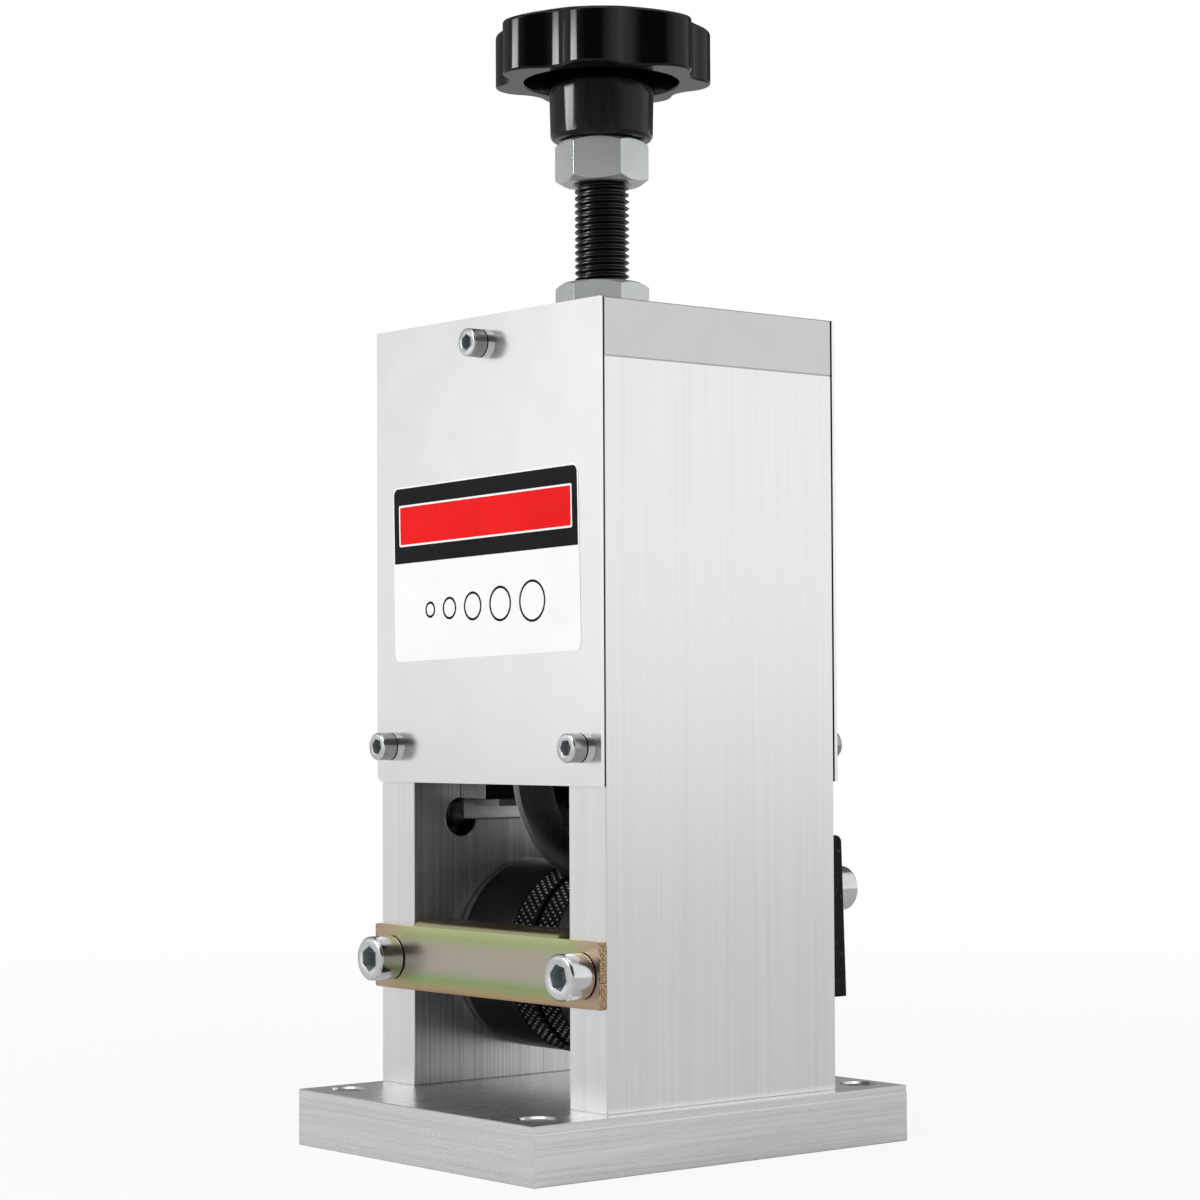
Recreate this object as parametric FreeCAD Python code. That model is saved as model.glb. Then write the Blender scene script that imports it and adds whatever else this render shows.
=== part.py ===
"""Hand crank wire stripper, in millimetres.

+X is the right-hand side of the machine, -Y its front (where the stripped wire comes out), +Z up.
The origin lies on the underside of the base plate, straight below the axis of the pressure screw.
"""
import FreeCAD, Part
import math
import os

Vector = FreeCAD.Vector
X_AXIS = Vector(1, 0, 0)
Y_AXIS = Vector(0, 1, 0)
Z_AXIS = Vector(0, 0, 1)
ORIGIN = Vector(0, 0, 0)

# ---- driving dimensions -------------------------------------------------------------------
# base plate, flush with the left side plate and standing out on the other three sides
base_left = -65.0
base_right = 72.0
base_front = -90.0
base_back = 82.0
base_thickness = 20.0
base_lip_height = 3.0
base_lip_inset = 0.6
base_bolt_radius = 6.0
base_bolt_spacing_x = 110.0
base_bolt_spacing_y = 148.0
base_bolt_centre_x = 2.0
base_bolt_centre_y = -2.5
base_bolt_chamfer = 0.8

# body: two side plates under one top plate
body_width = 130.0
body_depth = 106.0
side_thickness = 20.0
side_height = 256.0
top_thickness = 20.0
plate_edge_break = 0.3

# guide pocket milled in the inner face of each side plate, open at the top
pocket_depth = 8.0
pocket_half_depth = 32.0
pocket_floor_z = 116.0
pocket_relief_radius = 7.0
pocket_relief_y = 31.5
pocket_relief_z = 117.0

# sheet covers
cover_thickness = 2.0
cover_bottom_z = 130.0
cover_corner_radius = 3.0
cover_hole_radius = 3.3
cover_screw_z = 143.0
label_width = 108.0
label_height = 64.0
label_thickness = 0.2
label_centre_z = 207.0
label_corner_radius = 3.0
label_tilt = -1.3

# screws: shank radius, head radius, head height, width of the hexagon socket
m4_screw = {"shank": 2.0, "head": 3.5, "height": 2.4, "socket": 2.5}
m5_screw = {"shank": 2.5, "head": 4.25, "height": 5.0, "socket": 4.0}
m6_screw = {"shank": 3.0, "head": 5.0, "height": 6.0, "socket": 5.0}
m8_screw = {"shank": 4.0, "head": 6.5, "height": 8.0, "socket": 6.0}
m10_screw = {"shank": 5.0, "head": 8.0, "height": 10.0, "socket": 8.0}
m6_length = 16.0
m8_length = 25.0
m10_length = 25.0
lock_washer_radius = 5.2
lock_washer_thickness = 1.5
crank_screw_length = 21.0
bolt_clearance = 0.3
spot_face_clearance = 0.5
counterbore_radius = 7.0
counterbore_depth = 9.0
base_screw_y = 32.0
top_screw_y = 42.0
head_chamfer = 0.6
shank_chamfer = 0.4
socket_floor_share = 0.45

# feed roller and drive shaft
drive_z = 66.0
roller_radius = 35.0
roller_smooth_radius = 34.8
roller_half_length = 44.6
roller_band_half = 13.0
roller_chamfer_axial = 4.2
roller_chamfer_radial = 0.8
roller_slot_half = 1.1
roller_slot_floor_radius = 25.5
shaft_radius = 10.0
shaft_right_end = 60.5
shaft_shoulder_x = -69.0
shaft_square = 14.0
shaft_end_chamfer = 1.0
square_end_gap = 0.5
key_width = 6.0
key_half_length = 30.0
key_bottom = 6.5
key_top = 12.8

# drive bearings, 20 x 42 x 12
bearing_outer_radius = 21.0
bearing_width = 12.0
bearing_inset = 2.5
bearing_ball_radius = 3.175
bearing_pitch_radius = 15.5
bearing_ball_count = 9
outer_race_radius = 17.4
inner_race_radius = 13.6
race_gap_outer = 0.1
clip_thickness = 1.75
clip_groove_radius = 22.2
clip_inner_radius = 18.6
clip_gap_half = 5.0
seal_bore_radius = 14.0
seal_end_gap = 0.5
running_gap = 0.06

# crank
crank_radius = 120.0
arm_thickness = 10.0
arm_shaft_end_radius = 16.0
arm_grip_end_radius = 12.0
spindle_radius = 5.0
spindle_head_radius = 7.5
spindle_head_height = 4.0
spindle_chamfer = 0.6
spindle_socket_depth = 2.2
grip_length = 90.0
grip_end_radius = 13.0
grip_belly_radius = 15.5
grip_counterbore_depth = 7.0
grip_gap = 0.4
grip_above_bench = 0.2
arm_chamfer = 1.0
washer_thickness = 2.0
washer_radius = 12.0

# blade carriage
blade_z = 134.7
blade_radius = 42.2
blade_thickness = 1.6
blade_bevel = 1.6
blade_edge_thickness = 0.3
flange_radius = 33.4
flange_thickness = 9.5
flange_screw_circle = 22.0
flange_screw_count = 3
axle_radius = 7.0
journal_radius = 6.0
bush_outer_radius = 8.0
block_inner_x = 30.0
block_bottom_z = 123.5
block_half_depth = 31.8
block_height = 58.5
block_side_gap = 0.3
spacer_outer_radius = 11.0
keeper_thickness = 2.5
keeper_inset = 0.5
keeper_half_depth = 25.0
keeper_screw_y = 18.0
keeper_screw_length = 9.5
keeper_socket_depth = 1.2
countersink_depth = 1.5
axle_end_gap = 0.6
axle_shoulder_gap = 0.3
axle_chamfer = 0.5
flange_chamfer = 0.8
crosshead_height = 24.0
block_screw_x = 40.0
block_screw_y = 20.0
block_screw_length = 40.0

# pressure screw, M20 x 2.5, its nuts and the knob
screw_radius = 10.0
screw_root_radius = 8.6
screw_pitch = 2.5
screw_running_gap = 0.08
neck_radius = 7.0
neck_bottom_z = 184.5
collar_radius = 13.0
collar_height = 6.0
collar_recess_radius = 15.0
collar_recess_depth = 10.0
collar_pin_radius = 2.0
collar_pin_inset = 0.5
thrust_washer_radius = 16.0
thrust_washer_thickness = 2.0
thrust_gap = 0.1
nut_across_flats = 30.0
nut_height = 16.0
nut_turn = 44.0
nut_face_share = 0.95
nut_bore_chamfer = 1.0
knob_nut_bottom_z = 348.5
knob_radius = 40.5
knob_root_radius = 34.3
knob_lobe_radius = 12.0
knob_lobe_count = 7
knob_turn = 6.9
knob_rim_bottom_z = 386.0
knob_rim_height = 25.0
knob_dome_radius = 150.0
knob_hub_radius = 18.8
knob_hub_top_radius = 19.5
knob_recess_radius = 28.7
knob_recess_depth = 11.0
knob_edge_round = 1.5
knob_lower_round = 0.8
knob_bore_depth = 18.0
knob_hub_round = 1.6
knob_hub_foot = 0.5
knob_recess_draft = 1.5
knob_recess_shoulder = 2.0
knob_recess_floor_inset = 4.0

# wire outlet bracket at the front, wire inlet plate at the back
bracket_sheet = 3.0
bracket_bottom_z = 55.0
bracket_top_z = 78.0
bracket_flange_top_z = 80.0
bracket_flange_half = 41.5
bracket_flange_reach = 16.0
bracket_bend_radius = 4.0
bracket_corner_radius = 1.0
bracket_screw_z = 66.0
inlet_bottom_z = 53.0
inlet_top_z = 110.7
inlet_top_thickness = 4.2
inlet_bottom_thickness = 6.2
inlet_top_round = 2.6
inlet_round = 1.2
inlet_notch_half = 14.0
inlet_notch_floor_half = 1.5
inlet_notch_bottom_z = 100.0
inlet_screw_z = 91.0

# ---- derived places -----------------------------------------------------------------------
half_width = body_width / 2
half_depth = body_depth / 2
inner_face = half_width - side_thickness
side_top_z = base_thickness + side_height
body_top_z = side_top_z + top_thickness
screw_column_x = half_width - side_thickness / 2
block_top_z = block_bottom_z + block_height
block_outer_x = inner_face + pocket_depth - block_side_gap
crosshead_top_z = block_top_z + crosshead_height
washer_top_z = crosshead_top_z + thrust_washer_thickness
knob_hub_bottom_z = knob_nut_bottom_z + nut_height
knob_top_z = knob_rim_bottom_z + knob_rim_height
bearing_near = inner_face + bearing_inset
bearing_far = bearing_near + bearing_width
arm_outer_x = shaft_shoulder_x - arm_thickness
crank_droop = math.degrees(math.asin((drive_z - grip_belly_radius - grip_above_bench) / crank_radius))
cover_screw_tip = half_depth + cover_thickness + lock_washer_thickness - m6_length


# ---- helpers ------------------------------------------------------------------------------
def block(x_low, x_high, y_low, y_high, z_low, z_high):
    """A box between two corners."""
    corner = Vector(x_low, y_low, z_low)
    return Part.makeBox(x_high - x_low, y_high - y_low, z_high - z_low, corner)


def bar_x(radius, x_low, x_high, y=0.0, z=0.0):
    """A cylinder along X."""
    return Part.makeCylinder(radius, x_high - x_low, Vector(x_low, y, z), X_AXIS)


def bar_y(radius, y_low, y_high, x=0.0, z=0.0):
    """A cylinder along Y."""
    return Part.makeCylinder(radius, y_high - y_low, Vector(x, y_low, z), Y_AXIS)


def bar_z(radius, z_low, z_high, x=0.0, y=0.0):
    """A cylinder along Z."""
    return Part.makeCylinder(radius, z_high - z_low, Vector(x, y, z_low), Z_AXIS)


def turned_x(points, z):
    """A body turned about the X direction at height z, from (x, radius) points."""
    corners = [Vector(x, 0, z + radius) for x, radius in points]
    outline = Part.makePolygon(corners + corners[:1])
    return Part.Face(outline).revolve(Vector(0, 0, z), X_AXIS, 360)


def turned_z(points):
    """A body turned about the Z axis, from (radius, z) points."""
    corners = [Vector(radius, 0, z) for radius, z in points]
    outline = Part.makePolygon(corners + corners[:1])
    return Part.Face(outline).revolve(ORIGIN, Z_AXIS, 360)


def hexagon(across_flats, z_low, height, turn=0.0):
    """A hexagonal prism about the Z axis, with one corner at the angle turn."""
    corner_radius = across_flats / 2 / math.cos(math.radians(30))
    corners = []
    for step in range(7):
        angle = math.radians(turn + 60 * step)
        corners.append(Vector(corner_radius * math.cos(angle), corner_radius * math.sin(angle), z_low))
    return Part.Face(Part.makePolygon(corners)).extrude(Vector(0, 0, height))


def socket_screw(size, length):
    """A hexagon socket screw that points down: the head stands on z = 0."""
    head_top = size["height"]
    shank, head = size["shank"], size["head"]
    profile = [(0, -length), (shank - shank_chamfer, -length), (shank, -length + shank_chamfer), (shank, 0)]
    profile += [(head, 0), (head, head_top - head_chamfer), (head - head_chamfer, head_top), (0, head_top)]
    socket = hexagon(size["socket"], head_top * socket_floor_share, head_top)
    return turned_z(profile).cut(socket)


def pointed(shape, direction, place):
    """Turn a part made along +Z to point its head along direction, then put it at place."""
    turned = shape.copy()
    turns = {"-y": (X_AXIS, 90), "+y": (X_AXIS, -90), "-x": (Y_AXIS, -90), "-z": (X_AXIS, 180)}
    if direction in turns:
        axis, angle = turns[direction]
        turned.rotate(ORIGIN, axis, angle)
    turned.translate(place)
    return turned


def mirrored(shape):
    """The same part on the other side of the machine."""
    return shape.mirror(ORIGIN, X_AXIS)


def drilled(shape, tools):
    """Cut every tool out of the shape."""
    for tool in tools:
        shape = shape.cut(tool)
    return shape


def soft_block(x_low, x_high, y_low, y_high, z_low, z_high):
    """A box with its edges broken."""
    solid = block(x_low, x_high, y_low, y_high, z_low, z_high)
    return solid.makeChamfer(plate_edge_break, solid.Edges)


def corner_places(x_reach, y_reach, z=0.0):
    """Four places, one in each corner about the Z axis."""
    return [Vector(x, y, z) for x in (-x_reach, x_reach) for y in (-y_reach, y_reach)]


# ---- frame --------------------------------------------------------------------------------
def base_bolt_places():
    """Centres of the four fixing holes."""
    return [
        Vector(base_bolt_centre_x + side * base_bolt_spacing_x / 2,
               base_bolt_centre_y + end * base_bolt_spacing_y / 2, 0)
        for side in (-1, 1) for end in (-1, 1)
    ]


def make_base_plate():
    """Thick base with four fixing holes, and counterbores below for the side plate screws."""
    plate = soft_block(base_left, base_right, base_front, base_back, 0, base_thickness)
    lip = block(base_right - base_lip_inset, base_right + 1, base_front - 1, base_back + 1,
                base_thickness - base_lip_height, base_thickness + 1)
    tools = [lip]
    for place in base_bolt_places():
        mouth = Vector(place.x, place.y, base_thickness)
        tools.append(bar_z(base_bolt_radius, -1, base_thickness + 1, place.x, place.y))
        tools.append(Part.makeCone(base_bolt_radius + base_bolt_chamfer, base_bolt_radius, base_bolt_chamfer,
                                   mouth, Vector(0, 0, -1)))
    for place in corner_places(screw_column_x, base_screw_y):
        tools.append(bar_z(counterbore_radius, -1, counterbore_depth, place.x, place.y))
        tools.append(bar_z(m8_screw["shank"], 0, base_thickness + 1, place.x, place.y))
    return drilled(plate, tools)


def make_right_side_plate():
    """Right plate: guide pocket, blind bearing seat and tapped holes."""
    plate = soft_block(inner_face, half_width, -half_depth, half_depth, base_thickness, side_top_z)
    pocket_back = inner_face + pocket_depth
    tools = [block(inner_face - 1, pocket_back, -pocket_half_depth, pocket_half_depth,
                   pocket_floor_z, side_top_z + 1)]
    for y in (-pocket_relief_y, pocket_relief_y):
        tools.append(bar_x(pocket_relief_radius, inner_face - 1, pocket_back, y, pocket_relief_z))
    tools.append(bar_x(bearing_outer_radius, inner_face - 1, bearing_far, 0, drive_z))
    tools.append(bar_x(clip_groove_radius, bearing_near - clip_thickness, bearing_near, 0, drive_z))
    tools.append(bar_x(seal_bore_radius, bearing_far - 1, shaft_right_end + 1, 0, drive_z))
    for end, z in ((-1, bracket_screw_z), (1, inlet_screw_z)):
        tip = end * (half_depth - m10_length + (bracket_sheet if end < 0 else inlet_top_thickness))
        low, high = sorted((tip, end * (half_depth + 1)))
        tools.append(bar_y(m10_screw["shank"], low, high, screw_column_x, z))
    for end in (-1, 1):
        low, high = sorted((end * cover_screw_tip, end * (half_depth + 1)))
        tools.append(bar_y(m6_screw["shank"], low, high, screw_column_x, cover_screw_z))
        foot = counterbore_depth + m8_length
        tools.append(bar_z(m8_screw["shank"], base_thickness - 1, foot, screw_column_x, end * base_screw_y))
        head = body_top_z - counterbore_depth - m8_length
        tools.append(bar_z(m8_screw["shank"], head, side_top_z + 1, screw_column_x, end * top_screw_y))
    return drilled(plate, tools)


def make_left_side_plate():
    """Left plate: as the right one, but the drive shaft runs out through it."""
    return mirrored(make_right_side_plate()).cut(
        bar_x(seal_bore_radius, -half_width - 1, -bearing_far, 0, drive_z))


def make_top_plate():
    """Top plate across the side plates, tapped in the middle for the pressure screw."""
    plate = soft_block(-half_width, half_width, -half_depth, half_depth, side_top_z, body_top_z)
    tools = [bar_z(screw_radius + screw_running_gap, side_top_z - 1, body_top_z + 1)]
    seat = body_top_z - counterbore_depth
    for place in corner_places(screw_column_x, top_screw_y):
        tools.append(bar_z(counterbore_radius, seat, body_top_z + 1, place.x, place.y))
        tools.append(bar_z(m8_screw["shank"], side_top_z - 1, body_top_z, place.x, place.y))
    for end in (-1, 1):
        low, high = sorted((end * cover_screw_tip, end * (half_depth + 1)))
        tools.append(bar_y(m6_screw["shank"], low, high, 0, body_top_z - top_thickness / 2))
    return drilled(plate, tools)


def cover_screw_places(y):
    """One screw in the middle of the top plate's edge and one low in each side plate."""
    places = [Vector(0, y, body_top_z - top_thickness / 2)]
    return places + [Vector(side * screw_column_x, y, cover_screw_z) for side in (-1, 1)]


def make_cover(end):
    """Sheet cover on the front (end = -1) or the back (end = 1), with its lower left corner rounded."""
    y_low, y_high = sorted((end * half_depth, end * (half_depth + cover_thickness)))
    sheet = block(-half_width, half_width, y_low, y_high, cover_bottom_z, body_top_z)
    low_corner = [edge for edge in sheet.Edges
                  if edge.CenterOfMass.z < cover_bottom_z + 0.1
                  and edge.CenterOfMass.x < 0.1 - half_width]
    sheet = sheet.makeFillet(cover_corner_radius, low_corner)
    holes = [bar_y(cover_hole_radius, y_low - 1, y_high + 1, place.x, place.z)
             for place in cover_screw_places(0)]
    return drilled(sheet, holes)


def make_cover_screws(end):
    """Three screws that hold a cover."""
    seat = end * (half_depth + cover_thickness + lock_washer_thickness)
    direction = "-y" if end < 0 else "+y"
    screw = socket_screw(m6_screw, m6_length)
    return Part.makeCompound([pointed(screw, direction, place) for place in cover_screw_places(seat)])


def make_cover_washers():
    """Washers under the six cover screws."""
    washers = []
    for end in (-1, 1):
        low, high = sorted((end * (half_depth + cover_thickness),
                            end * (half_depth + cover_thickness + lock_washer_thickness)))
        for place in cover_screw_places(0):
            washer = bar_y(lock_washer_radius, low, high, place.x, place.z)
            washers.append(washer.cut(bar_y(m6_screw["shank"], low - 1, high + 1, place.x, place.z)))
    return Part.makeCompound(washers)


def make_label():
    """Blank label on the front cover, stuck on slightly askew."""
    front = -half_depth - cover_thickness
    sheet = block(-label_width / 2, label_width / 2, front - label_thickness, front,
                  label_centre_z - label_height / 2, label_centre_z + label_height / 2)
    corners = [edge for edge in sheet.Edges if abs(edge.CenterOfMass.y - front + label_thickness / 2) < 0.01]
    sheet = sheet.makeFillet(label_corner_radius, corners)
    sheet.rotate(Vector(0, 0, label_centre_z), Y_AXIS, label_tilt)
    return sheet


def make_base_screws():
    """Four screws up through the base into the side plates."""
    places = corner_places(screw_column_x, base_screw_y, counterbore_depth)
    return Part.makeCompound([pointed(socket_screw(m8_screw, m8_length), "-z", place) for place in places])


def make_top_screws():
    """Four screws down through the top plate into the side plates."""
    places = corner_places(screw_column_x, top_screw_y, body_top_z - counterbore_depth)
    return Part.makeCompound([pointed(socket_screw(m8_screw, m8_length), "+z", place) for place in places])


def make_outlet_bracket():
    """Bent strip across the front; its middle part folds in between the side plates."""
    front = -half_depth - bracket_sheet
    strip = block(-half_width, half_width, front, -half_depth, bracket_bottom_z, bracket_top_z)
    corners = [edge for edge in strip.Edges
               if abs(edge.CenterOfMass.x) > half_width - 0.1 and edge.BoundBox.YLength > bracket_sheet / 2]
    strip = strip.makeFillet(bracket_corner_radius, corners)
    shelf = block(-bracket_flange_half, bracket_flange_half, front, front + bracket_flange_reach,
                  bracket_top_z - bracket_bend_radius, bracket_flange_top_z)
    bend = [edge for edge in shelf.Edges
            if abs(edge.CenterOfMass.y - front) < 0.01
            and abs(edge.CenterOfMass.z - bracket_flange_top_z) < 0.01]
    shelf = shelf.makeFillet(bracket_bend_radius, bend)
    hollow = block(-bracket_flange_half - 1, bracket_flange_half + 1,
                   front + bracket_sheet, front + bracket_flange_reach + 1,
                   bracket_bottom_z - 1, bracket_flange_top_z - bracket_sheet)
    inside_bend = [edge for edge in hollow.Edges
                   if abs(edge.CenterOfMass.y - front - bracket_sheet) < 0.01
                   and abs(edge.CenterOfMass.z - bracket_flange_top_z + bracket_sheet) < 0.01]
    hollow = hollow.makeFillet(bracket_bend_radius - bracket_sheet, inside_bend)
    bracket = strip.fuse(shelf).removeSplitter().cut(hollow)
    holes = [bar_y(m10_screw["shank"] + bolt_clearance, front - 1, -half_depth + 1,
                   side * screw_column_x, bracket_screw_z) for side in (-1, 1)]
    return drilled(bracket, holes)


def make_bracket_screws():
    """Two screws through the outlet bracket."""
    seat = -half_depth - bracket_sheet
    screw = socket_screw(m10_screw, m10_length)
    places = [Vector(side * screw_column_x, seat, bracket_screw_z) for side in (-1, 1)]
    return Part.makeCompound([pointed(screw, "-y", place) for place in places])


def inlet_seat_y():
    """The inlet plate's outer face is sloped, so the screw seats are spot faced at this depth."""
    return half_depth + inlet_top_thickness


def make_inlet_plate():
    """Moulded plate across the back, thicker at the foot, with a notch that centres the wire."""
    corners = [
        Vector(-half_width, half_depth, inlet_bottom_z),
        Vector(-half_width, half_depth + inlet_bottom_thickness, inlet_bottom_z),
        Vector(-half_width, half_depth + inlet_top_thickness, inlet_top_z),
        Vector(-half_width, half_depth, inlet_top_z),
    ]
    plate = Part.Face(Part.makePolygon(corners + corners[:1])).extrude(Vector(body_width, 0, 0))
    top_edge = [edge for edge in plate.Edges
                if abs(edge.CenterOfMass.x) < 1 and edge.CenterOfMass.z > inlet_top_z - 0.1
                and edge.CenterOfMass.y > half_depth + 1]
    plate = plate.makeFillet(inlet_top_round, top_edge)
    rims = [edge for edge in plate.Edges
            if edge.CenterOfMass.y > half_depth + inlet_bottom_thickness - 0.1
            or (abs(edge.CenterOfMass.x) > half_width - 0.1 and edge.CenterOfMass.y > half_depth + inlet_round
                and edge.BoundBox.ZLength > inlet_bottom_thickness)]
    plate = plate.makeFillet(inlet_round, rims)
    notch_corners = [
        Vector(-inlet_notch_half, half_depth - 1, inlet_top_z + 1),
        Vector(-inlet_notch_floor_half, half_depth - 1, inlet_notch_bottom_z),
        Vector(inlet_notch_floor_half, half_depth - 1, inlet_notch_bottom_z),
        Vector(inlet_notch_half, half_depth - 1, inlet_top_z + 1),
    ]
    through = half_depth + 2 * inlet_bottom_thickness
    notch = Part.Face(Part.makePolygon(notch_corners + notch_corners[:1])).extrude(Vector(0, through, 0))
    tools = [notch]
    spot_radius = m10_screw["head"] + spot_face_clearance
    for side in (-1, 1):
        x = side * screw_column_x
        tools.append(bar_y(m10_screw["shank"] + bolt_clearance, half_depth - 1, through, x, inlet_screw_z))
        tools.append(bar_y(spot_radius, inlet_seat_y(), through, x, inlet_screw_z))
    return drilled(plate, tools)


def make_inlet_screws():
    """Two screws through the inlet plate."""
    screw = socket_screw(m10_screw, m10_length)
    places = [Vector(side * screw_column_x, inlet_seat_y(), inlet_screw_z) for side in (-1, 1)]
    return Part.makeCompound([pointed(screw, "+y", place) for place in places])


# ---- drive --------------------------------------------------------------------------------
def make_bearing_outer():
    """Outer ring of the right drive bearing."""
    ring = bar_x(bearing_outer_radius, bearing_near, bearing_far, 0, drive_z)
    bore = bar_x(outer_race_radius, bearing_near - 1, bearing_far + 1, 0, drive_z)
    return ring.cut(bore).cut(race(race_gap_outer))


def race(gap):
    """The ring-shaped track that the balls run in, wider than they are by gap."""
    middle = Vector((bearing_near + bearing_far) / 2, 0, drive_z)
    return Part.makeTorus(bearing_pitch_radius, bearing_ball_radius + gap, middle, X_AXIS)


def make_bearing_inner():
    """Inner ring of the right drive bearing."""
    ring = bar_x(inner_race_radius, bearing_near, bearing_far, 0, drive_z)
    bore = bar_x(shaft_radius, bearing_near - 1, bearing_far + 1, 0, drive_z)
    return ring.cut(bore).cut(race(race_gap_outer / 2))


def make_bearing_balls():
    """Balls of the right drive bearing."""
    middle = (bearing_near + bearing_far) / 2
    balls = []
    for step in range(bearing_ball_count):
        angle = 2 * math.pi * step / bearing_ball_count
        centre = Vector(middle, bearing_pitch_radius * math.cos(angle),
                        drive_z + bearing_pitch_radius * math.sin(angle))
        balls.append(Part.makeSphere(bearing_ball_radius, centre))
    return Part.makeCompound(balls)


def make_bearing_clip():
    """Spring ring that holds the right bearing in its seat, with the gap at the bottom."""
    low = bearing_near - clip_thickness
    ring = bar_x(clip_groove_radius, low, bearing_near, 0, drive_z)
    bore = bar_x(clip_inner_radius, low - 1, bearing_near + 1, 0, drive_z)
    gap = block(low - 1, bearing_near + 1, -clip_gap_half, clip_gap_half,
                drive_z - clip_groove_radius - 1, drive_z)
    return ring.cut(bore).cut(gap)


def make_shaft_seal():
    """Rubber ring around the shaft where it leaves the left side plate."""
    ring = bar_x(seal_bore_radius, -half_width + seal_end_gap, -bearing_far - seal_end_gap, 0, drive_z)
    return ring.cut(bar_x(shaft_radius + running_gap, -half_width - 1, -bearing_far + 1, 0, drive_z))


def make_drive_shaft():
    """Shaft from the blind right bearing out to the crank, squared at its left end."""
    profile = [(shaft_shoulder_x, 0), (shaft_shoulder_x, shaft_radius),
               (shaft_right_end - shaft_end_chamfer, shaft_radius),
               (shaft_right_end, shaft_radius - shaft_end_chamfer), (shaft_right_end, 0)]
    shaft = turned_x(profile, drive_z)
    half = shaft_square / 2
    square = block(arm_outer_x + square_end_gap, shaft_shoulder_x + 1, -half, half,
                   drive_z - half, drive_z + half)
    shaft = shaft.fuse(square)
    tapped = bar_x(m8_screw["shank"], arm_outer_x - 1, arm_outer_x + washer_thickness + crank_screw_length,
                   0, drive_z)
    keyway = block(-key_half_length, key_half_length, -key_width / 2, key_width / 2,
                   drive_z + key_bottom, drive_z + key_top)
    return drilled(shaft, [tapped, keyway])


def make_roller_key():
    """Flat key between the shaft and the roller."""
    return block(-key_half_length, key_half_length, -key_width / 2, key_width / 2,
                 drive_z + key_bottom, drive_z + key_top)


def make_feed_roller():
    """Lower roller: smooth ends, a knurled band in the middle and a slot that the blade runs in."""
    profile = [(-roller_half_length, shaft_radius)]
    profile.append((-roller_half_length, roller_smooth_radius - roller_chamfer_radial))
    profile.append((-roller_half_length + roller_chamfer_axial, roller_smooth_radius))
    profile.append((-roller_band_half, roller_smooth_radius))
    profile.append((-roller_band_half, roller_radius))
    profile.append((-roller_slot_half, roller_radius))
    profile.append((-roller_slot_half, roller_slot_floor_radius))
    profile += [(-x, radius) for x, radius in reversed(profile)]
    roller = turned_x(profile, drive_z)
    keyway = block(-roller_half_length - 1, roller_half_length + 1, -key_width / 2, key_width / 2,
                   drive_z, drive_z + key_top)
    return roller.cut(keyway)


def make_roller_spacers():
    """Two rings that keep the roller in the middle of the shaft."""
    right = bar_x(inner_race_radius, roller_half_length, bearing_near, 0, drive_z)
    right = right.cut(bar_x(shaft_radius, roller_half_length - 1, bearing_near + 1, 0, drive_z))
    return Part.makeCompound([right, mirrored(right)])


def swung(shape):
    """A driven piece at rest: the crank, drawn level, hangs with its grip just above the bench."""
    turned = shape.copy()
    turned.rotate(Vector(0, 0, drive_z), X_AXIS, -crank_droop)
    return turned


def make_crank_arm():
    """Tapered flat arm that points to the back, with a square hole for the shaft."""
    slope = math.asin((arm_shaft_end_radius - arm_grip_end_radius) / crank_radius)
    rise, run = math.cos(slope), math.sin(slope)

    def on_circle(centre_y, radius, sign):
        return Vector(arm_outer_x, centre_y + radius * run, drive_z + sign * radius * rise)

    shaft_low = on_circle(0, arm_shaft_end_radius, -1)
    shaft_high = on_circle(0, arm_shaft_end_radius, 1)
    grip_low = on_circle(crank_radius, arm_grip_end_radius, -1)
    grip_high = on_circle(crank_radius, arm_grip_end_radius, 1)
    front = Vector(arm_outer_x, -arm_shaft_end_radius, drive_z)
    back = Vector(arm_outer_x, crank_radius + arm_grip_end_radius, drive_z)
    outline = Part.Wire([
        Part.Arc(shaft_low, front, shaft_high).toShape(),
        Part.makeLine(shaft_high, grip_high),
        Part.Arc(grip_high, back, grip_low).toShape(),
        Part.makeLine(grip_low, shaft_low),
    ])
    arm = Part.Face(outline).extrude(Vector(arm_thickness, 0, 0))
    rims = [edge for edge in arm.Edges if abs(edge.CenterOfMass.x - arm_outer_x) < 0.01]
    arm = arm.makeChamfer(arm_chamfer, rims)
    half = shaft_square / 2
    square = block(arm_outer_x - 1, shaft_shoulder_x + 1, -half, half, drive_z - half, drive_z + half)
    tapped = bar_x(spindle_radius, arm_outer_x - 1, shaft_shoulder_x + 1, crank_radius, drive_z)
    return drilled(arm, [square, tapped])


def make_crank_washer():
    """Washer under the crank screw."""
    outer = arm_outer_x - washer_thickness
    washer = bar_x(washer_radius, outer, arm_outer_x, 0, drive_z)
    return washer.cut(bar_x(m8_screw["shank"], outer - 1, arm_outer_x + 1, 0, drive_z))


def make_crank_screw():
    """Screw in the end of the shaft that keeps the crank arm on its square."""
    seat = Vector(arm_outer_x - washer_thickness, 0, drive_z)
    return pointed(socket_screw(m8_screw, crank_screw_length), "-x", seat)


def grip_start_x():
    """The grip's inner end, just clear of the arm."""
    return arm_outer_x - grip_gap


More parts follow.
